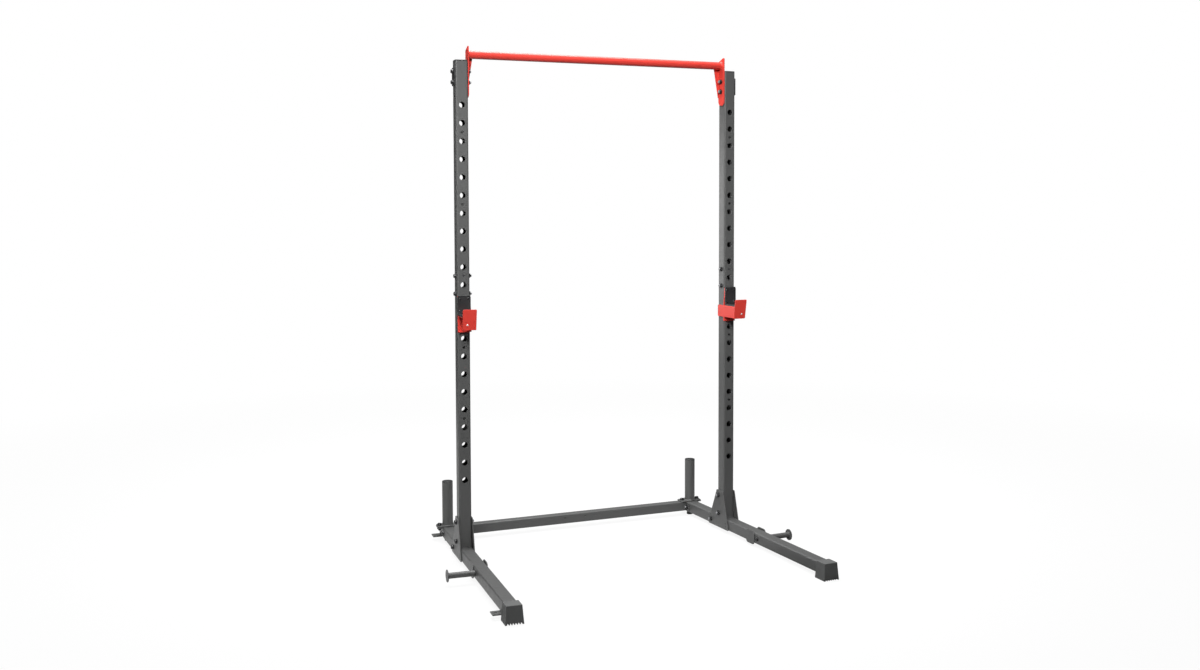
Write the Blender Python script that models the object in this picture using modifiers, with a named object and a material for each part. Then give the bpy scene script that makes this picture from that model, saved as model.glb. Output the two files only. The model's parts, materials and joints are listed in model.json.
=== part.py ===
"""Power rack: two splayed side frames, joined by a crossmember and a pull-up bar.

Metres, +Z up, the floor at z = 0 and the front towards -Y. Each side frame is modelled about its upright in
its own coordinates: x across the tube and away from the rack's middle, y back from the upright's front face,
z up. The side frame is then turned outwards by the splay and moved to its place, and the left one is mirrored.
"""
import math
import bmesh
import bpy
from mathutils import Matrix, Vector

# Fits
GAP = 0.0003                    # between touching faces
BITE = 0.001                    # welded shapes run this far into each other
BOLT_CLEARANCE = 0.0005         # round a shank, on the radius
PIN_CLEARANCE = 0.0007          # round the hook's pin, on the radius
PROUD = 0.010                   # a cutter stands out this far from what it cuts
THROUGH = 0.100                 # half the length of a cutter that crosses a whole side frame

# Side frames
UPRIGHT_SPACING = 1.170         # between the uprights' middles, at their front faces
SPLAY = math.radians(3.0)       # each side frame toes out towards the front
TUBE = 0.050                    # square upright
TUBE_WALL = 0.0025
TUBE_CORNER = 0.006
UPRIGHT_TOP = 1.970

# Holes up the front and back of an upright
HOLE_RADIUS = 0.0115
HOLE_PITCH = 0.070
HOLE_COUNT = 22
TOP_HOLE_Z = UPRIGHT_TOP - 0.170
MARKER_RADIUS = 0.0055
MARKERS_AFTER = (1, 5, 9, 13, 17)       # holes that have a small marker hole half a pitch below them
SPARE_HOLE_RADIUS = 0.010
SPARE_HOLE_DROP = 0.050                 # below the lower bracket bolt

# Splice inside an upright
SEAM_AFTER = 11.5               # pitches below the top hole
SLEEVE_WALL = 0.002
SLEEVE_HOLE_RADIUS = 0.0128     # wider than the upright's holes, so the pin never catches
SLEEVE_BELOW_SEAM = 0.125
SLEEVE_ABOVE_SEAM = 0.160
SPLICE_BOLTS_AFTER = (9.5, 10.5)        # pitches below the top hole

# Base legs
LEG_WIDTH = 0.050
LEG_HEIGHT = 0.045
LEG_BOTTOM = 0.017
LEG_TOP = LEG_BOTTOM + LEG_HEIGHT
LEG_REAR = 0.392
LEG_JOINT = -0.215
LEG_FRONT = -0.738
LEG_SLEEVE_LENGTH = 0.180
COLLAR_LENGTH = 0.062
COLLAR_RISE = 0.006             # above and below the tube
COLLAR_PLATE = 0.0035
COLLAR_CORNER = 0.014
COLLAR_FORWARD = 0.034          # of the joint
COLLAR_WELD_END = 0.003         # short of the plate's rear edge
COLLAR_WELD_INSET = 0.004       # from the leg's top and bottom
TAB_THICKNESS = 0.004
TAB_HOLE_RADIUS = 0.006
REAR_TAB = (0.344, 0.388)       # along the leg
FRONT_TAB = (-0.684, -0.644)
TAB_REACH = 0.036               # out from the leg's face
TAB_HOLE_INSET = 0.015          # from the ear's outer end

# Gussets
GUSSET = 0.004
GUSSET_TOP_Z = 0.172
GUSSET_TOP = (-0.001, 0.052)
GUSSET_FOOT = (-0.046, 0.124)
GUSSET_CORNER = 0.005
GUSSET_BOLTS = ((0.036, 0.157), (0.034, 0.080), (0.100, 0.0395))
GUSSET_PINHOLES = ((-0.021, 0.044), (-0.023, 0.031))
PINHOLE_RADIUS = 0.0028

# Fasteners
BOLT_RADIUS = 0.0048
HEAD_RADIUS = 0.0092
HEAD_HEIGHT = 0.009
HEAD_DOME = (0.78, 0.70)        # where the dome turns down, in head radii and heights
NUT_RADIUS = 0.0092
NUT_HEIGHT = 0.008
BOLT_TAIL = 0.0045

# Crossmember
CROSS = 0.040
CROSS_WALL = 0.0025
CROSS_CORNER = 0.004
CROSS_Y = 0.342                 # its middle
CROSS_TOP = LEG_TOP
CROSS_FLANGE = 0.005
CROSS_FLANGE_FORWARD = 0.022    # of the tube's front face
CROSS_BOLT_FORWARD = 0.011
CROSS_PINHOLES = ((-0.047, 0.047), (0.047, 0.047))

# Plate storage
POST_RADIUS = 0.0225
POST_WALL = 0.0025
POST_TOP = 0.250
POST_PLATE = 0.005
POST_PLATE_INNER = 0.053        # from the post's middle to the plate's end over the crossmember
POST_PLATE_OUTER = 0.046
POST_PLATE_WIDTH = 0.048
POST_PLATE_CORNER = 0.006
POST_INNER_BOLT = 0.040         # from the post's middle
POST_OUTER_BOLT = 0.036
LUG_THICKNESS = 0.004
LUG_WELD = 0.003                # into the leg's rounded corner
CAP_FLANGE = 0.003
PLUG_DEPTH = 0.014
PLUG_WALL = 0.002

# Band peg
PEG_RADIUS = 0.011
PEG_END = 0.132                 # from the middle of the leg
PEG_DISC_RADIUS = 0.023
PEG_DISC = 0.004
PEG_Y = -0.266
PEG_Z = LEG_BOTTOM + LEG_HEIGHT / 2
PEG_THREAD_DEPTH = 0.022
PEG_BOLT_DEPTH = 0.0176
PEG_BOLT_HEAD = 0.0055

# Feet
BOOT_LENGTH = 0.052
BOOT_WALL = 0.003
BOOT_FLARE = 0.005
BOOT_GROOVES = 6
BOOT_TOOTH = 0.005
FOOT_RADIUS = 0.014
FOOT_TOP_RADIUS = 0.012
FOOT_EDGE = 0.004               # the straight part above the floor
FOOT_Y = 0.342
FOOT_STEM_RADIUS = 0.005
FOOT_STEM = 0.010

# Pull-up bar and its brackets
BAR_RADIUS = 0.016
BAR_WALL = 0.0025
BAR_Y = 0.030
BAR_Z = UPRIGHT_TOP + 0.027
BRACKET = 0.004
BRACKET_FRONT = 0.001
BRACKET_BACK = 0.047
BRACKET_BOTTOM = UPRIGHT_TOP - 0.141
BRACKET_TIP = UPRIGHT_TOP + 0.058
BRACKET_TIP_WIDTH = 0.010
BRACKET_SHOULDER = UPRIGHT_TOP + 0.044
BRACKET_ROUND = 0.020           # of the lower corners
BRACKET_CORNER = 0.006
BRACKET_NOSE = 0.003
WEB_REACH = 0.023
WEB_EDGE = 0.010                # height of the web's outer edge
WEB_TOP = UPRIGHT_TOP + 0.024
WEB_FOOT = UPRIGHT_TOP - 0.098
BRACKET_BOLTS = (UPRIGHT_TOP - 0.082, UPRIGHT_TOP - 0.040)
BRACKET_PINHOLE = (0.014, UPRIGHT_TOP - 0.004)
VENT_RADIUS = 0.0025
BACKING = 0.0035
BACKING_OVERHANG = 0.022
BACKING_WIDTH = 0.034
BACKING_CORNER = 0.004

# Bar hooks
HOOK_HOLE = 11                  # the hole that holds the pin, counted from the top
HOOK_STEEL = 0.004
HOOK_PIN_TIP = 0.006            # out of the upright's back
BACK_TOP = 0.028                # above the pin
BACK_BOTTOM = -0.114
TOE_REACH = 0.010               # the back's foot bends forward
TOE_INSET = 0.004
SIDE_TOP = -0.048
SIDE_BOTTOM = -0.097
SIDE_REAR = 0.046
TRAY_REACH = 0.084              # forward of the upright
LIP_TOP = -0.018
LIP_BOTTOM = -0.099
LIP_LEAN = 0.014
HOOK_CORNER = 0.004
PAD = 0.006
PAD_OVERHANG = 0.001
PAD_CORNER = 0.005
TRAY_LINER = 0.005

# Caps
CAP_TOP = 0.004
CAP_CHAMFER = 0.0015

ROUND = 12                      # sides of a round hole or tube
BROAD = 16                      # sides of the bar and the peg's disc
SMALL = 8                       # sides of a bolt and its bore
ARC_STEPS = 2                   # chords in a rounded corner

GREY = ("graphite_powder_coat", (0.150, 0.150, 0.152), 0.48, 0.0)
RED = ("red_powder_coat", (0.620, 0.062, 0.045), 0.40, 0.0)
BLACK = ("black_plastic", (0.020, 0.020, 0.021), 0.55, 0.0)
RUBBER = ("dark_rubber", (0.055, 0.056, 0.056), 0.80, 0.0)
STEEL = ("black_oxide_steel", (0.075, 0.075, 0.078), 0.35, 0.85)
SLEEVE_STEEL = ("plain_steel", (0.120, 0.120, 0.123), 0.45, 0.85)

SEAM_Z = TOP_HOLE_Z - SEAM_AFTER * HOLE_PITCH
HOOK_Z = TOP_HOLE_Z - HOOK_HOLE * HOLE_PITCH
HALF = TUBE / 2
LEG_HALF = LEG_WIDTH / 2


def fresh_scene():
    for thing in list(bpy.data.objects):
        bpy.data.objects.remove(thing, do_unlink=True)
    groups = []
    for name in ("power_rack", "cutters"):
        group = bpy.data.collections.new(name)
        bpy.context.scene.collection.children.link(group)
        groups.append(group)
    return groups


PARTS, CUTTERS = fresh_scene()


def finish(look):
    name, colour, roughness, metallic = look
    material = bpy.data.materials.get(name)
    if material is None:
        material = bpy.data.materials.new(name)
        material.use_nodes = True
        shader = material.node_tree.nodes["Principled BSDF"]
        shader.inputs["Base Color"].default_value = (*colour, 1.0)
        shader.inputs["Roughness"].default_value = roughness
        shader.inputs["Metallic"].default_value = metallic
        material.diffuse_color = (*colour, 1.0)
    return material


def hole_height(pitches):
    return TOP_HOLE_Z - pitches * HOLE_PITCH


# Outlines are lists of corners, and arcs are worked out.

def circle(radius, centre=(0.0, 0.0), sides=ROUND):
    turns = [math.tau * (i + 0.5) / sides for i in range(sides)]
    return [(centre[0] + radius * math.cos(t), centre[1] + radius * math.sin(t)) for t in turns]


def rounded(corners, radius, steps=ARC_STEPS):
    """The same outline with each corner turned into an arc of the given radius."""
    if not isinstance(radius, (list, tuple)):
        radius = [radius] * len(corners)
    points = []
    for i, corner in enumerate(corners):
        here = Vector(corner)
        before = (Vector(corners[i - 1]) - here).normalized()
        after = (Vector(corners[(i + 1) % len(corners)]) - here).normalized()
        half_angle = before.angle(after) / 2
        reach = radius[i] / math.tan(half_angle)
        if radius[i] == 0:
            points.append(tuple(here))
            continue
        centre = here + (before + after).normalized() * radius[i] / math.sin(half_angle)
        first = here + before * reach - centre
        last = here + after * reach - centre
        sweep = first.angle_signed(last)
        for k in range(steps + 1):
            turn = Matrix.Rotation(-sweep * k / steps, 2)
            points.append(tuple(centre + turn @ first))
    return points


def rectangle(low, high):
    return [(low[0], low[1]), (high[0], low[1]), (high[0], high[1]), (low[0], high[1])]


def square_outline(width, height, corner):
    return rounded(rectangle((-width / 2, -height / 2), (width / 2, height / 2)), corner)


# Which way an outline's own x, y and thickness run in the side frame.
ACROSS = Matrix(((0, 0, 1, 0), (1, 0, 0, 0), (0, 1, 0, 0), (0, 0, 0, 1)))      # outline in y, z; thickness in x
ALONG = Matrix(((1, 0, 0, 0), (0, 0, -1, 0), (0, 1, 0, 0), (0, 0, 0, 1)))      # outline in x, z; thickness in y
LEVEL = Matrix.Identity(4)                                                      # outline in x, y; thickness in z


def slab(outlines, start, end, facing=LEVEL):
    """A flat outline, with any inner outlines as openings, extruded from start to end."""
    curve = bpy.data.curves.new("outline", "CURVE")
    curve.dimensions = "2D"
    curve.fill_mode = "BOTH"
    curve.extrude = abs(end - start) / 2
    for outline in outlines:
        spline = curve.splines.new("POLY")
        spline.points.add(len(outline) - 1)
        for point, (x, y) in zip(spline.points, outline):
            point.co = (x, y, 0.0, 1.0)
        spline.use_cyclic_u = True
    shape = bpy.data.objects.new("outline", curve)
    bpy.context.scene.collection.objects.link(shape)
    evaluated = shape.evaluated_get(bpy.context.evaluated_depsgraph_get())
    mesh = bpy.data.meshes.new_from_object(evaluated)
    bpy.data.objects.remove(shape, do_unlink=True)
    middle = (start + end) / 2
    if facing is ALONG:
        middle = -middle
    mesh.transform(facing @ Matrix.Translation((0.0, 0.0, middle)))
    return closed(mesh)


def closed(mesh):
    """Welds a mesh's seams and turns its faces outwards."""
    work = bmesh.new()
    work.from_mesh(mesh)
    bmesh.ops.remove_doubles(work, verts=work.verts, dist=0.000001)
    bmesh.ops.recalc_face_normals(work, faces=work.faces)
    work.to_mesh(mesh)
    work.free()
    return mesh


def box(low, high):
    work = bmesh.new()
    middle = (Vector(low) + Vector(high)) / 2
    size = Vector(high) - Vector(low)
    bmesh.ops.create_cube(work, size=1.0, matrix=Matrix.Translation(middle) @ Matrix.Diagonal((*size, 1.0)))
    mesh = bpy.data.meshes.new("box")
    work.to_mesh(mesh)
    work.free()
    return mesh


def rod(radius, start, end, facing, at=(0.0, 0.0), sides=ROUND):
    return slab([circle(radius, at, sides)], start, end, facing)


def square_tube(width, height, wall, corner, start, end, facing, at=(0.0, 0.0)):
    outer = square_outline(width, height, corner)
    inner = square_outline(width - 2 * wall, height - 2 * wall, max(corner - wall, wall / 2))
    shift = Vector(at)
    return slab([[tuple(Vector(p) + shift) for p in ring] for ring in (outer, inner)], start, end, facing)


def merged(meshes):
    """Several meshes as one, for use as a single cutter."""
    work = bmesh.new()
    for mesh in meshes:
        work.from_mesh(mesh)
    result = bpy.data.meshes.new("merged")
    work.to_mesh(result)
    work.free()
    return result


def mirrored(mesh, side):
    if side < 0:
        mesh.transform(Matrix.Diagonal((-1.0, 1.0, 1.0, 1.0)))
        mesh.flip_normals()
    return mesh


def shade(mesh):
    mesh.shade_smooth()
    mesh.set_sharp_from_angle(angle=math.radians(32.0))


def operand(body, mesh, operation):
    """A hidden helper that a Boolean modifier on the body adds or takes away."""
    helper = bpy.data.objects.new(f"{body.name}_{operation.lower()}", mesh)
    helper.parent = body.parent
    helper.location = body.location
    helper.rotation_euler = body.rotation_euler
    helper.hide_render = True
    helper.display_type = "WIRE"
    CUTTERS.objects.link(helper)
    modifier = body.modifiers.new(operation.lower(), "BOOLEAN")
    modifier.operation = operation
    modifier.solver = "EXACT"
    modifier.object = helper


def piece(name, mesh, look, parent, side=1, at=(0.0, 0.0, 0.0), add=(), cut=()):
    """One sub-part: a base mesh in the side frame, the shapes welded to it and the shapes cut from it."""
    mirrored(mesh, side)
    shade(mesh)
    mesh.materials.append(finish(look))
    body = bpy.data.objects.new(name, mesh)
    body.parent = parent
    body.location = (side * at[0], at[1], at[2])
    PARTS.objects.link(body)
    for shape in add:
        operand(body, mirrored(shape, side), "UNION")
    if cut:
        operand(body, mirrored(merged(cut), side), "DIFFERENCE")
    return body


def side_name(side):
    return "right" if side > 0 else "left"


# Fasteners

def turned(name, profile, look, parent, side, at, turn=0.0, sides=SMALL):
    """A solid turned about its own z, from a profile of radius and height pairs."""
    mesh = bpy.data.meshes.new(name)
    mesh.from_pydata([(radius, 0.0, z) for radius, z in profile],
                     [(i, i + 1) for i in range(len(profile) - 1)], [])
    mesh.materials.append(finish(look))
    body = bpy.data.objects.new(name, mesh)
    body.parent = parent
    body.location = (side * at[0], at[1], at[2])
    body.rotation_euler = (0.0, side * turn, 0.0)
    PARTS.objects.link(body)
    screw = body.modifiers.new("turn", "SCREW")
    screw.axis = "Z"
    screw.steps = screw.render_steps = sides
    screw.use_merge_vertices = True
    screw.merge_threshold = 0.00001
    screw.use_smooth_shade = True
    return body


def bolt_profile(end, head=HEAD_HEIGHT):
    """A domed head, seated just above z = 0, on a shank that ends at the given height."""
    dome_radius, dome_height = HEAD_DOME
    return [(0.0, GAP + head), (HEAD_RADIUS * dome_radius, GAP + head * dome_height),
            (HEAD_RADIUS, GAP), (BOLT_RADIUS, GAP), (BOLT_RADIUS, end), (0.0, end)]


def bolt(name, grip, parent, side, at, turn):
    """A domed bolt with its nut. It points along its own -z, and at is where the head's seat lies."""
    nut_top = -(grip + GAP)
    nut_end = nut_top - NUT_HEIGHT
    body = turned(name, bolt_profile(nut_end - BOLT_TAIL), STEEL, parent, side, at, turn)
    operand(body, rod(NUT_RADIUS, nut_end, nut_top, LEVEL, sides=6), "UNION")


HEAD_INWARD = -math.pi / 2      # across the tube, with the head towards the rack's middle
HEAD_OUTWARD = math.pi / 2
HEAD_UP = 0.0


def cross_bolt(name, side, parent, y, z, inner, outer):
    """A bolt straight across a side frame, from its head's seat at outer to its nut's seat at -inner."""
    bolt(f"{side_name(side)}_{name}", inner + outer, parent, side, (outer, y, z), HEAD_OUTWARD)


def bolt_bore(start, end, facing, at):
    return rod(BOLT_RADIUS + BOLT_CLEARANCE, start, end, facing, at, sides=SMALL)


def pinhole(start, end, facing, at):
    return rod(PINHOLE_RADIUS, start, end, facing, at, sides=6)


# Side frame

def pin_bores(low, high, radius=HOLE_RADIUS, sides=ROUND):
    """Every main hole between two heights, cut through front and back."""
    heights = [hole_height(k) for k in range(HOLE_COUNT)]
    return [rod(radius, -PROUD, TUBE + PROUD, ALONG, (0.0, z), sides) for z in heights if low < z < high]


def marker_bores(low, high):
    heights = [hole_height(k + 0.5) for k in MARKERS_AFTER]
    return [rod(MARKER_RADIUS, -PROUD, TUBE_WALL + BITE, ALONG, (0.0, z), sides=SMALL)
            for z in heights if low < z < high]


def cross_bores(places):
    return [bolt_bore(-THROUGH, THROUGH, ACROSS, place) for place in places]


def upright(side, parent, low, high, label, bolts, extra=()):
    tube = square_tube(TUBE, TUBE, TUBE_WALL, TUBE_CORNER, low, high, LEVEL, (0.0, HALF))
    cuts = pin_bores(low, high) + marker_bores(low, high) + cross_bores(bolts) + list(extra)
    piece(f"{side_name(side)}_{label}", tube, GREY, parent, side, cut=cuts)


def uprights(side, parent):
    splice = [(HALF, hole_height(k)) for k in SPLICE_BOLTS_AFTER]
    bracket = [(HALF, z) for z in BRACKET_BOLTS]
    spare_z = BRACKET_BOLTS[0] - SPARE_HOLE_DROP
    spare = rod(SPARE_HOLE_RADIUS, -THROUGH, THROUGH, ACROSS, (HALF, spare_z))
    lower = LEG_TOP + GAP
    upright(side, parent, lower, SEAM_Z - GAP / 2, "lower_upright", GUSSET_BOLTS[:2])
    upright(side, parent, SEAM_Z + GAP / 2, UPRIGHT_TOP, "upper_upright", splice + bracket, [spare])

    inside = TUBE - 2 * TUBE_WALL - 2 * GAP
    low, high = SEAM_Z - SLEEVE_BELOW_SEAM, SEAM_Z + SLEEVE_ABOVE_SEAM
    sleeve = square_tube(inside, inside, SLEEVE_WALL, TUBE_CORNER - TUBE_WALL, low, high, LEVEL, (0.0, HALF))
    piece(f"{side_name(side)}_splice_sleeve", sleeve, SLEEVE_STEEL, parent, side,
          cut=pin_bores(low, high, SLEEVE_HOLE_RADIUS, SMALL) + cross_bores(splice))
    for k, (y, z) in enumerate(splice):
        cross_bolt(f"splice_bolt_{k + 1}", side, parent, y, z, HALF, HALF)


def upright_cap(side, parent):
    """A push-in cap: a chamfered lid on a hollow plug."""
    lid = slab([square_outline(TUBE, TUBE, TUBE_CORNER)], 0.0, CAP_TOP)
    lid.transform(Matrix.Translation((0.0, HALF, UPRIGHT_TOP + GAP)))
    plug_width = TUBE - 2 * TUBE_WALL - 2 * GAP
    plug = square_tube(plug_width, plug_width, PLUG_WALL, TUBE_CORNER - TUBE_WALL,
                       UPRIGHT_TOP - PLUG_DEPTH, UPRIGHT_TOP + CAP_TOP / 2, LEVEL, (0.0, HALF))
    cap = piece(f"{side_name(side)}_upright_cap", lid, BLACK, parent, side, add=[plug])
    edge = cap.modifiers.new("chamfer", "BEVEL")
    edge.width = CAP_CHAMFER
    edge.segments = 1
    edge.limit_method = "ANGLE"
    edge.angle_limit = math.radians(60.0)
    cap.modifiers.move(1, 0)


def tab(span, side_face=LEG_HALF):
    """A flat ear welded along the bottom of a leg."""
    root = side_face - TUBE_WALL / 2
    return box((root, span[0], LEG_BOTTOM), (side_face + TAB_REACH, span[1], LEG_BOTTOM + TAB_THICKNESS))


def tab_bore(span):
    middle = (LEG_HALF + TAB_REACH - TAB_HOLE_INSET, (span[0] + span[1]) / 2)
    return rod(TAB_HOLE_RADIUS, LEG_BOTTOM - PROUD, LEG_BOTTOM + PROUD, LEVEL, middle, SMALL)


def collar_plates():
    """Two side plates at the front of the rear leg, with round ends above and below the tube."""
    low = (LEG_JOINT - COLLAR_FORWARD, LEG_BOTTOM - COLLAR_RISE)
    high = (LEG_JOINT - COLLAR_FORWARD + COLLAR_LENGTH, LEG_TOP + COLLAR_RISE)
    shapes = []
    for hand in (-1, 1):
        near, far = hand * (LEG_HALF + GAP), hand * (LEG_HALF + GAP + COLLAR_PLATE)
        shapes.append(slab([rounded(rectangle(low, high), COLLAR_CORNER)], min(near, far), max(near, far), ACROSS))
        inner, outer = hand * (LEG_HALF - BITE), hand * (LEG_HALF + GAP + BITE)
        shapes.append(box((min(inner, outer), LEG_JOINT + BITE, LEG_BOTTOM + COLLAR_WELD_INSET),
                          (max(inner, outer), high[0] - COLLAR_WELD_END, LEG_TOP - COLLAR_WELD_INSET)))
    return shapes


def leg_tube(start, end, width=LEG_WIDTH, height=LEG_HEIGHT, wall=TUBE_WALL, corner=TUBE_CORNER):
    return square_tube(width, height, wall, corner, start, end, ALONG, (0.0, LEG_BOTTOM + LEG_HEIGHT / 2))


def legs(side, parent):
    name = side_name(side)
    lug = box((LEG_HALF - LUG_WELD, CROSS_Y - POST_PLATE_WIDTH / 2, LEG_TOP - LUG_THICKNESS),
              (POST_PLATE_OUTER, CROSS_Y + POST_PLATE_WIDTH / 2, LEG_TOP))
    lug_bore = bolt_bore(LEG_TOP - PROUD, LEG_TOP + PROUD, LEVEL, (POST_OUTER_BOLT, CROSS_Y))
    side_bores = cross_bores(GUSSET_BOLTS[2:] + ((cross_bolt_y(), cross_bolt_z()),))
    foot_bore = rod(FOOT_STEM_RADIUS + BOLT_CLEARANCE, LEG_BOTTOM - PROUD, LEG_BOTTOM + TUBE_WALL + BITE,
                    LEVEL, (0.0, FOOT_Y), SMALL)
    piece(f"{name}_rear_leg", leg_tube(LEG_JOINT, LEG_REAR), GREY, parent, side,
          add=[lug, tab(REAR_TAB)] + collar_plates(),
          cut=side_bores + [lug_bore, tab_bore(REAR_TAB), foot_bore])
    piece(f"{name}_front_leg", leg_tube(LEG_FRONT, LEG_JOINT - GAP), GREY, parent, side,
          add=[tab(FRONT_TAB)], cut=cross_bores([(PEG_Y, PEG_Z)]) + [tab_bore(FRONT_TAB)])
    fit = 2 * (TUBE_WALL + GAP)
    sleeve = leg_tube(LEG_JOINT - LEG_SLEEVE_LENGTH / 2, LEG_JOINT + LEG_SLEEVE_LENGTH / 2,
                      LEG_WIDTH - fit, LEG_HEIGHT - fit, SLEEVE_WALL, TUBE_CORNER - TUBE_WALL)
    piece(f"{name}_leg_sleeve", sleeve, SLEEVE_STEEL, parent, side,
          cut=cross_bores([(PEG_Y, PEG_Z)]))


def rear_end_cap(side, parent):
    lid = slab([square_outline(LEG_WIDTH, LEG_HEIGHT, TUBE_CORNER)], 0.0, CAP_FLANGE, ALONG)
    lid.transform(Matrix.Translation((0.0, LEG_REAR + GAP, PEG_Z)))
    fit = 2 * (TUBE_WALL + GAP)
    plug = leg_tube(LEG_REAR - PLUG_DEPTH, LEG_REAR + GAP + CAP_FLANGE / 2,
                    LEG_WIDTH - fit, LEG_HEIGHT - fit, PLUG_WALL, TUBE_CORNER - TUBE_WALL)
    piece(f"{side_name(side)}_rear_end_cap", lid, BLACK, parent, side, add=[plug])


def rear_foot(side, parent):
    """A tapered rubber foot with a stem that presses into the leg."""
    seat, stem_end = LEG_BOTTOM - GAP, LEG_BOTTOM + FOOT_STEM
    profile = [(0.0, stem_end), (FOOT_STEM_RADIUS, stem_end), (FOOT_STEM_RADIUS, seat), (FOOT_TOP_RADIUS, seat),
               (FOOT_RADIUS, FOOT_EDGE), (FOOT_RADIUS, 0.0), (0.0, 0.0)]
    turned(f"{side_name(side)}_rear_foot", profile, RUBBER, parent, side, (0.0, FOOT_Y, 0.0))


def front_boot(side, parent):
    """A moulded toe cap that flares towards the floor. Grooves along its sole leave a row of teeth."""
    front = LEG_FRONT - GAP - BOOT_WALL
    rear = front + BOOT_LENGTH
    half = LEG_HALF + GAP + BOOT_WALL
    top = LEG_TOP + GAP + BOOT_WALL
    work = bmesh.new()
    size = Vector((2 * half, BOOT_LENGTH, top))
    place = Matrix.Translation((0.0, (front + rear) / 2, top / 2))
    bmesh.ops.create_cube(work, size=1.0, matrix=place @ Matrix.Diagonal((*size, 1.0)))
    for corner in work.verts:
        if corner.co.z < top / 2:
            corner.co.x += math.copysign(BOOT_FLARE, corner.co.x)
            corner.co.y += math.copysign(BOOT_FLARE, corner.co.y - (front + rear) / 2)
    mesh = bpy.data.meshes.new("boot")
    work.to_mesh(mesh)
    work.free()
    pocket = slab([square_outline(LEG_WIDTH + 2 * GAP, LEG_HEIGHT + 2 * GAP, TUBE_CORNER)],
                  front + BOOT_WALL, rear + BOOT_FLARE + PROUD, ALONG)
    pocket.transform(Matrix.Translation((0.0, 0.0, PEG_Z)))
    cuts = [pocket]
    pitch = 2 * (half + BOOT_FLARE) / (BOOT_GROOVES + 1)
    for k in range(BOOT_GROOVES):
        x = (k + 1) * pitch - half - BOOT_FLARE
        groove = [(x - pitch / 2, -BITE), (x + pitch / 2, -BITE), (x, BOOT_TOOTH)]
        cuts.append(slab([groove], front - BOOT_FLARE - BITE, rear + BOOT_FLARE + BITE, ALONG))
    piece(f"{side_name(side)}_front_boot", mesh, RUBBER, parent, side, cut=cuts)


def gussets(side, parent):
    """Trapezoid plates that clamp the upright to the leg from both sides."""
    corners = [(GUSSET_FOOT[0], LEG_BOTTOM), (GUSSET_FOOT[1], LEG_BOTTOM),
               (GUSSET_TOP[1], GUSSET_TOP_Z), (GUSSET_TOP[0], GUSSET_TOP_Z)]
    for label, hand in (("inner", -1), ("outer", 1)):
        near, far = hand * (LEG_HALF + GAP), hand * (LEG_HALF + GAP + GUSSET)
        plate = slab([rounded(corners, GUSSET_CORNER)], min(near, far), max(near, far), ACROSS)
        pinholes = [pinhole(-THROUGH, THROUGH, ACROSS, place) for place in GUSSET_PINHOLES]
        piece(f"{side_name(side)}_{label}_gusset", plate, GREY, parent, side,
              cut=cross_bores(GUSSET_BOLTS) + pinholes)
    seat = LEG_HALF + GAP + GUSSET
    for k, (y, z) in enumerate(GUSSET_BOLTS):
        cross_bolt(f"gusset_bolt_{k + 1}", side, parent, y, z, seat, seat)


def storage_post(side, parent):
    """An upright plate holder on a flat foot, with ears bolted to the leg's lug and to the crossmember."""
    bottom = LEG_TOP + GAP
    half_width = POST_PLATE_WIDTH / 2
    ends = rectangle((-POST_PLATE_INNER, CROSS_Y - half_width), (POST_PLATE_OUTER, CROSS_Y + half_width))
    foot = slab([rounded(ends, POST_PLATE_CORNER)], bottom, bottom + POST_PLATE)
    rings = [circle(POST_RADIUS, (0.0, CROSS_Y)), circle(POST_RADIUS - POST_WALL, (0.0, CROSS_Y))]
    tube = slab(rings, bottom + POST_PLATE / 2, POST_TOP)
    ears = [bolt_bore(bottom - PROUD, bottom + PROUD, LEVEL, (x, CROSS_Y))
            for x in (-POST_INNER_BOLT, POST_OUTER_BOLT)]
    name = side_name(side)
    piece(f"{name}_storage_post", foot, GREY, parent, side, add=[tube], cut=ears)

    seat = bottom + POST_PLATE
    outer_grip = POST_PLATE + GAP + LUG_THICKNESS
    inner_grip = POST_PLATE + GAP + CROSS_WALL
    bolt(f"{name}_post_bolt_outer", outer_grip, parent, side, (POST_OUTER_BOLT, CROSS_Y, seat), HEAD_UP)
    bolt(f"{name}_post_bolt_inner", inner_grip, parent, side, (-POST_INNER_BOLT, CROSS_Y, seat), HEAD_UP)

    lid = rod(POST_RADIUS, POST_TOP + GAP, POST_TOP + GAP + CAP_FLANGE, LEVEL, (0.0, CROSS_Y))
    plug_radius = POST_RADIUS - POST_WALL - GAP
    plug = slab([circle(plug_radius, (0.0, CROSS_Y)), circle(plug_radius - PLUG_WALL, (0.0, CROSS_Y))],
                POST_TOP - PLUG_DEPTH, POST_TOP + GAP + CAP_FLANGE / 2)
    piece(f"{name}_post_cap", lid, BLACK, parent, side, add=[plug])


def band_peg(side, parent):
    """A short rod with an end disc. The bolt from the leg's inner side screws into it."""
    start = LEG_HALF + GAP
    bar = rod(PEG_RADIUS, start, PEG_END - PEG_DISC / 2, ACROSS, (PEG_Y, PEG_Z))
    disc = rod(PEG_DISC_RADIUS, PEG_END - PEG_DISC, PEG_END, ACROSS, (PEG_Y, PEG_Z), sides=BROAD)
    bore = bolt_bore(start - PROUD, start + PEG_THREAD_DEPTH, ACROSS, (PEG_Y, PEG_Z))
    name = side_name(side)
    piece(f"{name}_band_peg", bar, GREY, parent, side, add=[disc], cut=[bore])
    turned(f"{name}_peg_bolt", bolt_profile(-(LEG_WIDTH + PEG_BOLT_DEPTH), PEG_BOLT_HEAD), STEEL, parent, side,
           (-LEG_HALF, PEG_Y, PEG_Z), HEAD_INWARD)


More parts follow.
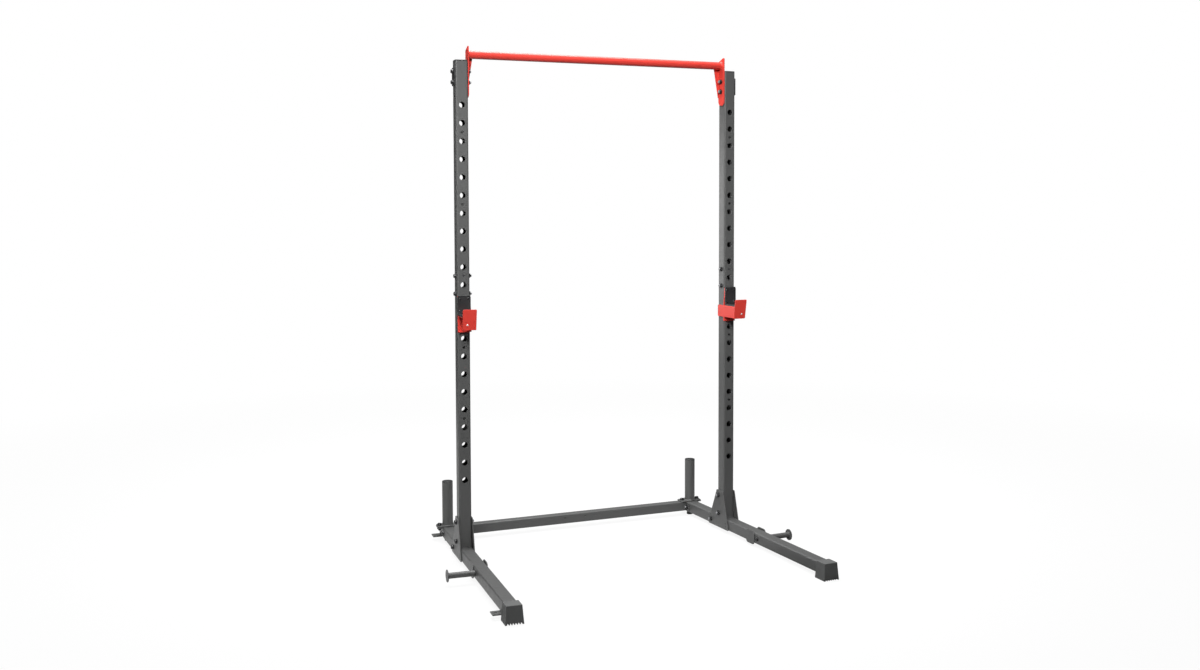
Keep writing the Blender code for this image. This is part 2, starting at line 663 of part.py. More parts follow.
def backing_plate(side, parent):
    low, high = BRACKET_BOLTS[0] - BACKING_OVERHANG, BRACKET_BOLTS[1] + BACKING_OVERHANG
    edges = rectangle((HALF - BACKING_WIDTH / 2, low), (HALF + BACKING_WIDTH / 2, high))
    plate = slab([rounded(edges, BACKING_CORNER)], HALF + GAP, HALF + GAP + BACKING, ACROSS)
    places = [(HALF, z) for z in BRACKET_BOLTS]
    piece(f"{side_name(side)}_backing_plate", plate, BLACK, parent, side, cut=cross_bores(places))
    for k, (y, z) in enumerate(places):
        cross_bolt(f"bracket_bolt_{k + 1}", side, parent, y, z, HALF + GAP + BRACKET, HALF + GAP + BACKING)


# Parts that join the two side frames

def cross_bolt_y():
    return CROSS_Y - CROSS / 2 - CROSS_BOLT_FORWARD


def cross_bolt_z():
    return CROSS_TOP - CROSS / 2


def to_rack(side):
    """From a side frame's coordinates, already mirrored, to the rack's."""
    return Matrix.Translation((side * UPRIGHT_SPACING / 2, 0.0, 0.0)) @ Matrix.Rotation(side * SPLAY, 4, "Z")


def placed(mesh, side):
    """A side frame's shape put in rack coordinates."""
    mirrored(mesh, side)
    mesh.transform(to_rack(side))
    return mesh


def crossmember(parent):
    """A square tube with an end flange that lies flat on each splayed leg."""
    flange_face = -(LEG_HALF + GAP)
    inner_face = flange_face - CROSS_FLANGE
    reach = (to_rack(1) @ Vector(((flange_face + inner_face) / 2, CROSS_Y, 0.0))).x
    low = CROSS_TOP - CROSS
    tube = square_tube(CROSS, CROSS, CROSS_WALL, CROSS_CORNER, -reach, reach, ACROSS, (0.0, low + CROSS / 2))
    y_shift = (to_rack(1) @ Vector((flange_face, CROSS_Y, 0.0))).y
    tube.transform(Matrix.Translation((0.0, y_shift, 0.0)))
    front = CROSS_Y - CROSS / 2
    flanges, cuts = [], []
    for side in (-1, 1):
        plate = box((inner_face, front - CROSS_FLANGE_FORWARD, low), (flange_face, CROSS_Y + CROSS / 2, CROSS_TOP))
        flanges.append(placed(plate, side))
        cuts.append(placed(bolt_bore(-THROUGH, 0.0, ACROSS, (cross_bolt_y(), cross_bolt_z())), side))
        ear = bolt_bore(CROSS_TOP - PROUD, CROSS_TOP + PROUD, LEVEL, (-POST_INNER_BOLT, CROSS_Y))
        cuts.append(placed(ear, side))
        vent = rod(CROSS / 2 - 2 * CROSS_WALL, inner_face - BITE, flange_face + BITE, ACROSS,
                   (CROSS_Y, cross_bolt_z()))
        cuts.append(placed(vent, side))
    cuts += [pinhole(y_shift - CROSS, y_shift, ALONG, place) for place in CROSS_PINHOLES]
    piece("crossmember", tube, GREY, parent, add=flanges, cut=cuts)


def bracket_outline():
    corners = [(BRACKET_FRONT, BRACKET_BOTTOM), (BRACKET_BACK, BRACKET_BOTTOM),
               (BRACKET_BACK, BRACKET_SHOULDER), (BRACKET_FRONT + BRACKET_TIP_WIDTH, BRACKET_TIP),
               (BRACKET_FRONT, BRACKET_TIP)]
    radii = [BRACKET_ROUND, BRACKET_ROUND, BRACKET_CORNER, BRACKET_CORNER, BRACKET_NOSE]
    return rounded(corners, radii, steps=ARC_STEPS + 1)


def pull_up_bar(parent):
    """A round bar welded between two bolt-on brackets, each with a tapering web behind the bar."""
    face = -(HALF + GAP)
    back = face - BRACKET
    reach = (to_rack(1) @ Vector(((face + back) / 2, BAR_Y, 0.0))).x
    y = (to_rack(1) @ Vector((face, BAR_Y, 0.0))).y
    rings = [circle(BAR_RADIUS, (y, BAR_Z), BROAD), circle(BAR_RADIUS - BAR_WALL, (y, BAR_Z), BROAD)]
    bar = slab(rings, -reach, reach, ACROSS)
    shapes, cuts = [], []
    for side in (-1, 1):
        shapes.append(placed(slab([bracket_outline()], back, face, ACROSS), side))
        root, edge = back + BITE, back - WEB_REACH
        web = [(root, WEB_FOOT), (root, WEB_TOP), (edge, WEB_TOP), (edge, WEB_TOP - WEB_EDGE)]
        shapes.append(placed(slab([web], BRACKET_BACK - BRACKET, BRACKET_BACK, ALONG), side))
        cuts += [placed(bolt_bore(-THROUGH, 0.0, ACROSS, (HALF, z)), side) for z in BRACKET_BOLTS]
        cuts.append(placed(pinhole(-THROUGH, 0.0, ACROSS, BRACKET_PINHOLE), side))
        cuts.append(placed(rod(VENT_RADIUS, -THROUGH, 0.0, ACROSS, (BAR_Y, BAR_Z), sides=6), side))
    piece("pull_up_bar", bar, RED, parent, add=shapes, cut=cuts)


# Bar hooks: modelled about the pin, in the side frame's directions

def hook(side, parent):
    name = side_name(side)
    slide = bpy.data.objects.new(f"{name}_hook_slide", None)
    slide.parent = parent
    slide.location = (0.0, 0.0, HOOK_Z)
    PARTS.objects.link(slide)

    plate_front = -GAP - HOOK_STEEL
    side_inner = -(HALF + 2 * GAP)
    side_outer = side_inner - HOOK_STEEL
    back = box((side_outer, plate_front, BACK_BOTTOM), (HALF, -GAP, BACK_TOP))
    toe = box((-HALF + TOE_INSET, plate_front - TOE_REACH, BACK_BOTTOM),
              (HALF - TOE_INSET, plate_front + BITE, BACK_BOTTOM + HOOK_STEEL))
    ends = rectangle((-TRAY_REACH, SIDE_BOTTOM), (SIDE_REAR, SIDE_TOP))
    band = slab([rounded(ends, [0, HOOK_CORNER, HOOK_CORNER, 0])], side_outer, side_inner, ACROSS)
    tray_low = SIDE_TOP - HOOK_STEEL
    tray = box((side_outer + BITE, -TRAY_REACH, tray_low), (HALF, plate_front + BITE, SIDE_TOP))

    lip_edges = rectangle((side_outer, LIP_BOTTOM), (HALF, LIP_TOP))
    lip_front = BITE - TRAY_REACH - HOOK_STEEL
    lip = slab([rounded(lip_edges, [0, HOOK_CORNER, HOOK_CORNER, HOOK_CORNER])],
               lip_front, lip_front + HOOK_STEEL, ALONG)
    lean = LIP_LEAN / (LIP_TOP - LIP_BOTTOM)
    lip.transform(Matrix(((1, 0, 0, 0), (0, 1, -lean, lean * LIP_BOTTOM), (0, 0, 1, 0), (0, 0, 0, 1))))
    lean_at_tray = lean * (SIDE_TOP - LIP_BOTTOM)
    nose_root = 2 * BITE - TRAY_REACH
    tray_nose = box((side_outer + BITE, -TRAY_REACH - lean_at_tray, tray_low), (HALF, nose_root, SIDE_TOP))
    band_nose = slab([[(nose_root, SIDE_BOTTOM), (-TRAY_REACH - BITE, SIDE_BOTTOM),
                       (-TRAY_REACH - lean_at_tray, SIDE_TOP), (nose_root, SIDE_TOP)]],
                     side_outer, side_inner, ACROSS)
    pin = rod(HOLE_RADIUS - PIN_CLEARANCE, plate_front + BITE, TUBE + HOOK_PIN_TIP, ALONG)
    piece(f"{name}_hook_bracket", back, RED, slide, side,
          add=[band, band_nose, tray, tray_nose, lip, toe, pin])

    pad_low = SIDE_TOP + GAP
    pad_back = plate_front - GAP
    pad_side = HALF + PAD_OVERHANG
    pad_edges = rectangle((-pad_side, pad_low), (pad_side, BACK_TOP))
    pad = slab([rounded(pad_edges, [0, 0, PAD_CORNER, PAD_CORNER])], pad_back - PAD, pad_back, ALONG)
    floor = box((-pad_side, BITE - TRAY_REACH - lean_at_tray, pad_low),
                (HALF, pad_back - PAD + BITE, pad_low + TRAY_LINER))
    piece(f"{name}_hook_liner", pad, BLACK, slide, side, add=[floor])


# Assembly

def empty(name, parent=None, location=(0.0, 0.0, 0.0), turn=0.0):
    point = bpy.data.objects.new(name, None)
    point.parent = parent
    point.location = location
    point.rotation_euler = (0.0, 0.0, turn)
    PARTS.objects.link(point)
    return point


def centre_on_origin(root):
    """Moves the rack so that the middle of its footprint is the origin."""
    bpy.context.view_layer.update()
    depsgraph = bpy.context.evaluated_depsgraph_get()
    reach = []
    for body in PARTS.objects:
        if body.type == "MESH":
            evaluated = body.evaluated_get(depsgraph)
            reach += [(body.matrix_world @ corner.co).y for corner in evaluated.data.vertices]
    root.location.y = -(min(reach) + max(reach)) / 2


def build():
    root = empty("rack_origin")
    for side in (-1, 1):
        frame = empty(f"{side_name(side)}_side", root, (side * UPRIGHT_SPACING / 2, 0.0, 0.0), side * SPLAY)
        uprights(side, frame)
        upright_cap(side, frame)
        legs(side, frame)
        rear_end_cap(side, frame)
        rear_foot(side, frame)
        front_boot(side, frame)
        gussets(side, frame)
        storage_post(side, frame)
        band_peg(side, frame)
        backing_plate(side, frame)
        cross_bolt("crossmember_bolt", side, frame, cross_bolt_y(), cross_bolt_z(),
                   LEG_HALF + GAP + CROSS_FLANGE, LEG_HALF)
        hook(side, frame)
    crossmember(root)
    pull_up_bar(root)
    centre_on_origin(root)


build()
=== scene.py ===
# %% [markdown]
# # A power rack in grey and red powder coat
#
# The rack has two side frames of square steel tube. Each one is an upright with a row of holes,
# bolted between two gusset plates to a long level leg. A red pull-up bar joins the tops and a
# plain tube joins the feet, and a red bar hook hangs on a pin in each upright.
#
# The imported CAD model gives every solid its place. This lesson gives the solids their looks:
# round holes, rolled corners, turned bolts and paint. It starts by loading the frame and noting
# how large it is.

# %% Load the frame
import json
import math

import bmesh
import bpy
import numpy as np
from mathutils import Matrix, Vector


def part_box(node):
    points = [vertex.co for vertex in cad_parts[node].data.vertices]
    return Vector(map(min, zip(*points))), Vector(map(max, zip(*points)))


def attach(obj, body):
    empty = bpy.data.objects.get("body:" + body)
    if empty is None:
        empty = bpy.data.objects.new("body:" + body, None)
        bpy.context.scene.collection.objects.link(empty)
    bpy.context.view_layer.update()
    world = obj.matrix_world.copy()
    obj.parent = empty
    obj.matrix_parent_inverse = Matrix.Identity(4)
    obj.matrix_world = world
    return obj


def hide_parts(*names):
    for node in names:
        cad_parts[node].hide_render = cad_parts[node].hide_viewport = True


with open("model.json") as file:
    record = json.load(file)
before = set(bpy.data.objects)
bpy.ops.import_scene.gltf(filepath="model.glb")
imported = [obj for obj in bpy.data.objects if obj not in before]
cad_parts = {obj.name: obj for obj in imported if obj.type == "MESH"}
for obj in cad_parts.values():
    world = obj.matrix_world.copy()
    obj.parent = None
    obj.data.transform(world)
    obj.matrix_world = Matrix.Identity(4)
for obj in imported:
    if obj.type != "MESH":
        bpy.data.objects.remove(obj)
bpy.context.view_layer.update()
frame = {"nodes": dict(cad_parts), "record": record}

# %% [markdown]
# ## The camera
#
# The camera stands a little left of the rack and looks slightly down. Its place comes from
# fitting the rows of holes and the legs to the photograph's 1200 x 670 frame. The small lens
# shift is the photograph's own framing.

# %% Where the side frames stand
SIDES = {"left": -1, "right": 1}
TUBE = 0.050  # square upright
SPLAY = math.radians(3.0)  # each side frame toes out towards the front

low, high = (np.array(corner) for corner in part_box("right_upper_upright"))
middle = (low + high) / 2
FRONT = middle[1] - TUBE / 2 * math.cos(SPLAY)  # the uprights' front faces, at their middles
SPACING = 2 * (middle[0] + TUBE / 2 * math.sin(SPLAY))  # between the uprights' middles there
print(f"uprights {SPACING * 1000:.1f} mm apart, front faces at y = {FRONT * 1000:.1f} mm")

# %% Set the camera
def placed(name, data):
    """A new object with that data, linked to the scene."""
    thing = bpy.data.objects.new(name, data)
    bpy.context.scene.collection.objects.link(thing)
    return thing


PICTURE_WIDTH, PICTURE_HEIGHT = 1200.0, 670.0
FOCAL_LENGTH = 1206.98  # in the picture's pixels
AXIS_X, AXIS_Y = 601.29, 266.67  # where the lens's axis meets the picture
SENSOR = 36.0
EYE = (-1.8536, -4.5578 + FRONT, 1.4187)
PITCH_DOWN, ROLLED, TURNED = 3.02, 0.14, -22.09  # in degrees
camera_data = bpy.data.cameras.new("camera")
camera_data.sensor_width = SENSOR
camera_data.lens = FOCAL_LENGTH / PICTURE_WIDTH * SENSOR
camera_data.shift_x = (PICTURE_WIDTH / 2 - AXIS_X) / PICTURE_WIDTH
camera_data.shift_y = (AXIS_Y - PICTURE_HEIGHT / 2) / PICTURE_WIDTH
camera_data.clip_start, camera_data.clip_end = 0.05, 300.0
camera = placed("camera", camera_data)
camera.location = EYE
camera.rotation_mode = "XYZ"
camera.rotation_euler = [math.radians(angle) for angle in (90.0 - PITCH_DOWN, ROLLED, TURNED)]
bpy.context.scene.camera = camera
print(f"lens {camera_data.lens:.2f} mm")

# %% [markdown]
# ## Surfaces as arrays
#
# Every new piece is a grid of points worked out by numpy in one go, because a rule in words, such
# as "walk round the tube and move along it", becomes one line on whole arrays. A grid has rows
# and columns, and its faces join each point to the next ones. Several grids are welded into one
# closed skin at the end.

# %% Grids and shells
def grid_faces(rows, columns, wrap_rows=False, wrap_columns=False):
    """Four-sided faces of a grid: each joins point (r, c) to the next row and the next column."""
    r = np.arange(rows if wrap_rows else rows - 1)
    c = np.arange(columns if wrap_columns else columns - 1)
    r, c = np.meshgrid(r, c, indexing="ij")
    r_next, c_next = (r + 1) % rows, (c + 1) % columns
    corners = [r * columns + c, r_next * columns + c, r_next * columns + c_next, r * columns + c_next]
    return np.stack(corners, -1).reshape(-1, 4)


def shell(points, wrap_rows=False, wrap_columns=False, more_faces=()):
    """A grid of points, rows x columns x 3, with its blocks of faces, each an array with a face per row."""
    rows, columns = points.shape[:2]
    return points.reshape(-1, 3), [grid_faces(rows, columns, wrap_rows, wrap_columns), *more_faces]


def moved(shells, place):
    """The same shells with their points passed through a function."""
    return [(place(points), blocks) for points, blocks in shells]


def quarter_turn(steps):
    """Angles from 0 to a right angle."""
    return np.linspace(0.0, math.pi / 2, steps + 1)


def laid(order, offset=(0.0, 0.0, 0.0), signs=(1, 1, 1)):
    """A place that takes x, y and z from the named columns, turns their signs and moves the points."""
    return lambda p: p[:, order] * signs + offset


def shifted(*offset):
    return laid([0, 1, 2], offset)


def stand(side):
    """From a side frame's own x (outwards), y (backwards) and z to the rack's, turned by the splay."""
    def place(p):
        x = SPACING / 2 + p[:, 0] * math.cos(SPLAY) - p[:, 1] * math.sin(SPLAY)
        y = FRONT + p[:, 1] * math.cos(SPLAY) + p[:, 0] * math.sin(SPLAY)
        return np.stack([side * x, y, p[:, 2]], axis=1)
    return place


def unstand(side):
    """The way back: from the rack's x, y and z to a side frame's own."""
    def place(p):
        x, y = side * p[:, 0] - SPACING / 2, p[:, 1] - FRONT
        outwards = x * math.cos(SPLAY) + y * math.sin(SPLAY)
        backwards = y * math.cos(SPLAY) - x * math.sin(SPLAY)
        return np.stack([outwards, backwards, p[:, 2]], axis=1)
    return place


print("a 3 x 4 grid has", len(grid_faces(3, 4)), "faces")

# %% [markdown]
# ## From shells to a piece
#
# A piece is welded, its faces are turned outwards and its flat faces stay flat while rolled
# corners shade smoothly. It then takes its finish, rides on a CAD body and, where it stands for a
# CAD solid, replaces it.

# %% Weld and hand over
def weld(mesh, solid=False):
    """Joins points that coincide. Then a CAD solid's flat faces are joined again, and a new skin's are turned
    outwards, without those that shrank to nothing."""
    work = bmesh.new()
    work.from_mesh(mesh)
    bmesh.ops.remove_doubles(work, verts=work.verts, dist=1e-6)
    if solid:
        bmesh.ops.dissolve_limit(work, angle_limit=math.radians(0.5), verts=work.verts, edges=work.edges)
    else:
        bmesh.ops.dissolve_degenerate(work, edges=work.edges, dist=1e-7)
        bmesh.ops.recalc_face_normals(work, faces=work.faces)
    work.to_mesh(mesh)
    work.free()


def mesh_of(name, shells):
    """Stacks the shells. Each one's faces count on from the points before it."""
    starts = np.cumsum([0] + [len(points) for points, _ in shells])
    faces = [block + start for start, (_, blocks) in zip(starts, shells) for block in blocks]
    mesh = bpy.data.meshes.new(name)
    mesh.from_pydata(np.concatenate([points for points, _ in shells]), [],
                     [face for block in faces for face in block.tolist()])
    weld(mesh)
    return mesh


def hand_over(name, mesh, finish, body, replaces=(), crease=35.0):
    """Makes the object, shades it, and gives it its material, body and CAD solids."""
    mesh.shade_smooth()
    mesh.set_sharp_from_angle(angle=math.radians(crease))
    piece = placed(name, mesh)
    piece.data.materials.append(finish)
    even = piece.modifiers.new("even", "WEIGHTED_NORMAL")
    even.keep_sharp = True
    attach(piece, body)
    if replaces:
        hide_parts(*replaces)
    return piece


def dress(name, shells, finish, solid=None, body="frame", crease=35.0, hands=SIDES):
    """Makes the shells a piece on each side frame. All names are given without their side."""
    for hand in hands:
        full = f"{hand}_{name}"
        mesh = mesh_of(full, moved(shells, stand(SIDES[hand])))
        rides_on = body if body == "frame" else f"{hand}_{body}"
        hand_over(full, mesh, finish, rides_on, [f"{hand}_{solid}"] if solid else (), crease)
    return len(mesh.polygons)


print(len(frame["nodes"]), "CAD solids wait for their looks")

# %% [markdown]
# ## Paint as arithmetic
#
# Powder coat isn't one colour. Seen close it has a fine pebbled skin, its gloss drifts a little,
# and the tone changes slowly over a long tube. Each of these is a noise pattern put through a
# little arithmetic. A small class lets Python's own signs add the Math nodes, so a recipe reads
# like the sum that it is.

# %% Shader arithmetic
class Wire:
    """One output of a shader node. Python's signs on it add Math nodes."""

    def __init__(self, nodes, node, output):
        self.nodes, self.node, self.output = nodes, node, output

    def math(self, operation, first, second):
        return self.nodes.add("Math", {"operation": operation}, {0: first, 1: second})

    def __add__(self, other):
        return self.math("ADD", self, other)

    def __rsub__(self, other):
        return self.math("SUBTRACT", other, self)

    def __mul__(self, other):
        return self.math("MULTIPLY", self, other)

    def stretched(self, start, end):
        """0 below start, 1 above end and a straight ramp between."""
        return self.nodes.add("MapRange", {"clamp": True},
                              {0: self, 1: start, 2: end, 3: 0.0, 4: 1.0})


class Nodes:
    """A node tree whose nodes are all added by one method."""

    def __init__(self, tree):
        self.tree = tree

    def add(self, kind, settings, values, output=0):
        """A shader node of that kind: its settings first, then a value or a wire for each of its sockets."""
        node = self.tree.nodes.new("ShaderNode" + kind)
        for name, value in settings.items():
            setattr(node, name, value)
        for socket, value in values.items():
            self.feed(node.inputs[socket], value)
        return Wire(self, node, output)

    def feed(self, socket, value):
        if isinstance(value, Wire):
            self.tree.links.new(value.node.outputs[value.output], socket)
        else:
            socket.default_value = value


trial = bpy.data.node_groups.new("trial", "ShaderNodeTree")
faded = 1.0 - Nodes(trial).add("TexNoise", {}, {"Scale": 4.0}) * 0.5
print("1 - noise * 0.5 is", len(trial.nodes), "nodes, the last of them", faded.node.operation)
bpy.data.node_groups.remove(trial)


# %% Finishes as recipes
class Recipe(Nodes):
    """A piece's finish: the Principled shader, with patterns in Object coordinates."""

    def __init__(self, name, slot):
        self.material = bpy.data.materials.new(name)
        self.material.use_nodes = True
        self.material["slot"] = slot
        super().__init__(self.material.node_tree)
        self.shader = self.tree.nodes["Principled BSDF"]
        self.place = self.add("TexCoord", {}, {}, "Object")

    def noise(self, scale, detail=2.0, roughness=0.5, stretch=(1.0, 1.0, 1.0)):
        spot = self.place
        if stretch != (1.0, 1.0, 1.0):
            spot = self.add("Mapping", {}, {"Vector": spot, "Scale": stretch})
        return self.add("TexNoise", {},
                        {"Vector": spot, "Scale": scale, "Detail": detail, "Roughness": roughness})

    def blend(self, amount, first, second):
        """A colour between two others."""
        return self.add("Mix", {"data_type": "RGBA"},
                        {0: amount, 6: (*first, 1.0), 7: (*second, 1.0)}, 2)

    def bump(self, height, distance, strength):
        return self.add("Bump", {},
                        {"Height": height, "Distance": distance, "Strength": strength})

    def finish(self, **values):
        """Feeds the shader's own sockets. An underscore in a name stands for a space."""
        for name, value in values.items():
            self.feed(self.shader.inputs[name.replace("_", " ")], value)
        return self.material


trial = Recipe("trial", "none")
print("a recipe starts with", len(trial.tree.nodes), "nodes")
bpy.data.materials.remove(trial.material)

# %% [markdown]
# ## Powder coat
#
# The grey coat is baked powder: satin, with a pebbled skin about a millimetre across. The red
# coat is the same process in a glossier powder. Both recipes share their patterns and differ in
# colour, depth and gloss.

# %% Grey and red coats
def powder_coat(name, slot, light, dark, gloss, shine, pebble):
    """Tone drifts slowly between two colours, gloss drifts faster, and fine noise makes the pebbled skin."""
    recipe = Recipe(name, slot)
    drift = recipe.noise(2.5, 3.0).stretched(0.30, 0.70)
    grain = recipe.noise(1100.0, 2.0, 0.6)
    patches = recipe.noise(45.0, 3.0)
    speck = recipe.noise(420.0, 1.0).stretched(0.62, 0.75)
    tone = drift * 0.7 + grain * 0.3 + speck * 0.12
    return recipe.finish(
        Base_Color=recipe.blend(tone, dark, light),
        Specular_IOR_Level=shine,
        Roughness=patches.stretched(0.25, 0.75) * 0.10 + grain * 0.06 + gloss,
        Normal=recipe.bump(grain + recipe.noise(330.0, 1.0) * 0.5, pebble, 0.55))


grey_coat = powder_coat("grey_coat", "graphite_powder_coat", (0.094, 0.095, 0.094), (0.078, 0.079, 0.078),
                        gloss=0.36, shine=0.45, pebble=0.00012)
red_coat = powder_coat("red_coat", "red_powder_coat", (0.690, 0.056, 0.041), (0.620, 0.044, 0.033),
                       gloss=0.30, shine=0.30, pebble=0.00008)
print("coats:", grey_coat.name, red_coat.name)

# %% [markdown]
# ## Plastic, rubber and bolts
#
# The caps and the hooks' liners are moulded plastic with a fine spark-eroded texture. The boots
# are rubber with a bloom that pales them in patches. The bolts are blackened steel, whose dark
# skin lets the metal glint through. Bare steel comes in three tones: dull for the sleeves,
# brighter for cut ends, where it is also a painted glint, brightest for a rivet.

# %% The other finishes
def moulded(name, slot, light, dark, gloss, grain_scale, depth):
    """Two close tones in patches, with a fine even grain as bump."""
    recipe = Recipe(name, slot)
    grain = recipe.noise(grain_scale, 2.0, 0.6)
    patches = recipe.noise(22.0, 4.0).stretched(0.30, 0.70)
    return recipe.finish(
        Base_Color=recipe.blend(patches * 0.6 + grain * 0.4, dark, light),
        Roughness=patches * 0.10 + grain * 0.08 + gloss,
        Normal=recipe.bump(grain, depth, 0.6))


def blackened_steel():
    """Dark oxide with a brighter grain along the turning marks."""
    recipe = Recipe("blackened_steel", "black_oxide_steel")
    marks = recipe.noise(700.0, 2.0, 0.6)
    wear = recipe.noise(160.0, 3.0).stretched(0.50, 0.80)
    return recipe.finish(
        Base_Color=recipe.blend(wear * 0.8, (0.014, 0.014, 0.015), (0.060, 0.060, 0.062)),
        Roughness=marks * 0.10 + 0.20,
        Metallic=wear * 0.3 + 0.10,
        Normal=recipe.bump(marks, 0.00004, 0.5))


def bare_steel(name, dark, light, metallic):
    """Uncoated steel with long fine streaks."""
    recipe = Recipe(name, "plain_steel")
    streaks = recipe.noise(260.0, 3.0, 0.6, (1.0, 1.0, 0.03))
    return recipe.finish(
        Base_Color=recipe.blend(streaks, dark, light),
        Roughness=streaks * 0.2 + 0.35,
        Metallic=metallic,
        Normal=recipe.bump(streaks, 0.00003, 0.5))


black_plastic = moulded("black_plastic", "black_plastic", (0.030, 0.030, 0.031), (0.017, 0.017, 0.018),
                        gloss=0.30, grain_scale=1500.0, depth=0.00008)
dark_rubber = moulded("dark_rubber", "dark_rubber", (0.110, 0.112, 0.111), (0.080, 0.082, 0.081),
                      gloss=0.62, grain_scale=800.0, depth=0.00012)
black_bolt = blackened_steel()
plain_steel = bare_steel("bare_steel", (0.085, 0.085, 0.087), (0.135, 0.135, 0.138), 0.6)
bright_steel = bare_steel("bright_steel", (0.72, 0.72, 0.73), (0.86, 0.86, 0.87), 0.2)
# Brightened bare steel for the bolts' cut ends, which paints a glint on them as well.
glint_cut_steel = bare_steel("glint_cut_steel", (0.22, 0.22, 0.23), (0.36, 0.36, 0.37), 0.5)
record_finishes = (grey_coat, red_coat, black_plastic, dark_rubber, black_bolt, plain_steel)
finish_of_slot = {finish["slot"]: finish for finish in record_finishes}
print("finishes:", ", ".join(sorted(finish_of_slot)))

# %% [markdown]
# ## Finish the CAD solids first
#
# Each CAD solid gets the finish of its record slot straight away. Those that a later cell
# replaces are hidden then, and those that stay, such as the sleeves seen through the holes,
# already look right.

# %% Give every CAD solid its finish
slot_of_node = {entry["node"]: entry["material_slot"] for entry in frame["record"]["subparts"]}
for node, solid in frame["nodes"].items():
    solid.data.materials.clear()
    solid.data.materials.append(finish_of_slot[slot_of_node[node]])
bodies = frame["record"]["behaviour"]["bodies"]
body_of_node = {node: body for body, nodes in bodies.items() for node in nodes}

# %% [markdown]
# ## Punched square tube
#
# An upright is a rolled square tube with round holes punched through it. A plain box with dark
# discs would fail as soon as light falls through a hole, so the walls are real. The tube is cut
# into storeys. In each one, a flat wall is either a plain patch or a patch that runs from the
# rectangle inwards to the hole's rim, through the wall and back out to the rectangle on the
# inside. Rolled corners fill the space between the flats.

# %% Walls and rolled corners
STEPS = 8  # faces along each side of a patch
ROLL = 4  # faces round a rolled corner
# The flats are the front, the outer side, the back and the inner side.
OUTWARDS = np.array([(0.0, -1.0), (1.0, 0.0), (0.0, 1.0), (-1.0, 0.0)])


def on_wall(k, across, along, depth, half):
    """A point on flat k: out by half the tube less the depth, sideways by across, and up by along."""
    across, along, depth = np.broadcast_arrays(across, along, depth)
    plan = OUTWARDS[k] * (half[k % 2] - depth)[..., None] + OUTWARDS[(k + 1) % 4] * across[..., None]
    return np.concatenate([plan, along[..., None]], axis=-1)


def rolled_corner(k, half, corner, radius, turn):
    """Points in plan on the corner after flat k: out from the corner's middle by the radius at each angle."""
    ahead, beside = OUTWARDS[k], OUTWARDS[(k + 1) % 4]
    centre = ahead * (half[k % 2] - corner) + beside * (half[(k + 1) % 2] - corner)
    return centre + radius * (np.outer(np.cos(turn), ahead) + np.outer(np.sin(turn), beside))


def rectangle_walk(across, low, high):
    """Once round a rectangle, STEPS points to a side, starting at its lower left corner."""
    t = np.arange(STEPS) / STEPS
    s = np.concatenate([-across + 2 * across * t, 0 * t + across, across - 2 * across * t, 0 * t - across])
    z = np.concatenate([0 * t + low, low + (high - low) * t, 0 * t + high, high - (high - low) * t])
    return s, z


def punched_patch(across, low, high, centre, radius, wall, place, close=False):
    """Rings from the rectangle to the rim, down the bore and out again on the far side of the wall."""
    s, z = rectangle_walk(across, low, high)
    turn = np.arctan2(z - centre[1], s - centre[0])
    lip = min(0.0004, wall / 5)
    rings = [place(s, z, 0 * s)]
    for size, depth in ((radius + lip, 0.0), (radius, lip), (radius, wall - lip), (radius + lip, wall)):
        rings.append(place(centre[0] + size * np.cos(turn), centre[1] + size * np.sin(turn), 0 * s + depth))
    rings.append(place(s, z, 0 * s + wall))
    return shell(np.stack(rings), wrap_rows=close, wrap_columns=True)


patch = punched_patch(0.02, 0.0, 0.04, (0.0, 0.02), 0.01, 0.002, lambda s, z, d: np.stack([s, d, z], -1))
print("a punched patch has", len(patch[1][0]), "faces")


# %% Storeys and ends
def storey(low, high, half, corner, wall, holes):
    """Four flats and four corners between two heights. holes maps a flat to across, height and radius."""
    shells = []
    up = np.linspace(low, high, STEPS + 1)[:, None]
    turn = quarter_turn(ROLL)
    for k in range(4):
        flat = half[(k + 1) % 2] - corner
        if k in holes:
            offset, height, radius = holes[k]
            shells.append(punched_patch(flat, low, high, (offset, height), radius, wall,
                                        lambda s, z, d, k=k: on_wall(k, s, z, d, half)))
        else:
            across = np.linspace(-flat, flat, STEPS + 1)[None, :]
            shells += [shell(on_wall(k, across, up, depth, half)) for depth in (0.0, wall)]
        for depth in (0.0, wall):
            plan = rolled_corner(k, half, corner, corner - depth, turn)
            plan = np.broadcast_to(plan, (STEPS + 1, ROLL + 1, 2))
            rise = np.broadcast_to(up[..., None], (STEPS + 1, ROLL + 1, 1))
            shells.append(shell(np.concatenate([plan, rise], axis=-1)))
    return shells


def tube_end(height, half, corner, wall):
    """The cut end: a strip from the outer outline to the inner one."""
    turn = quarter_turn(ROLL)[1:-1]
    rings = []
    for depth in (0.0, wall):
        points = []
        for k in range(4):
            flat = half[(k + 1) % 2] - corner
            points.append(on_wall(k, np.linspace(-flat, flat, STEPS + 1), height, depth, half))
            plan = rolled_corner(k, half, corner, corner - depth, turn)
            points.append(np.column_stack([plan, np.full(len(turn), height)]))
        rings.append(np.concatenate(points))
    return shell(np.stack(rings), wrap_columns=True)


def square_tube(stations, width, height, corner, wall, holes=None):
    """Storeys between the stations. holes maps a storey to what storey() takes."""
    half = (height / 2, width / 2)
    shells = [tube_end(end, half, corner, wall) for end in (stations[0], stations[-1])]
    for i, (low, high) in enumerate(zip(stations, stations[1:])):
        shells += storey(low, high, half, corner, wall, (holes or {}).get(i, {}))
    return shells


print("a plain storey has", len(storey(0.0, 0.1, (0.02, 0.02), 0.004, 0.002, {})), "shells")

# %% [markdown]
# ## The uprights
#
# Both halves of an upright share one rhythm: a pin hole every 70 mm, front and back, with a
# smaller marker hole between some of them. The storeys are half a pitch high, so that each hole
# sits in the middle of its own. A rippled bead of weld lies along the foot's front edge, where
# the lower half stands on the leg.

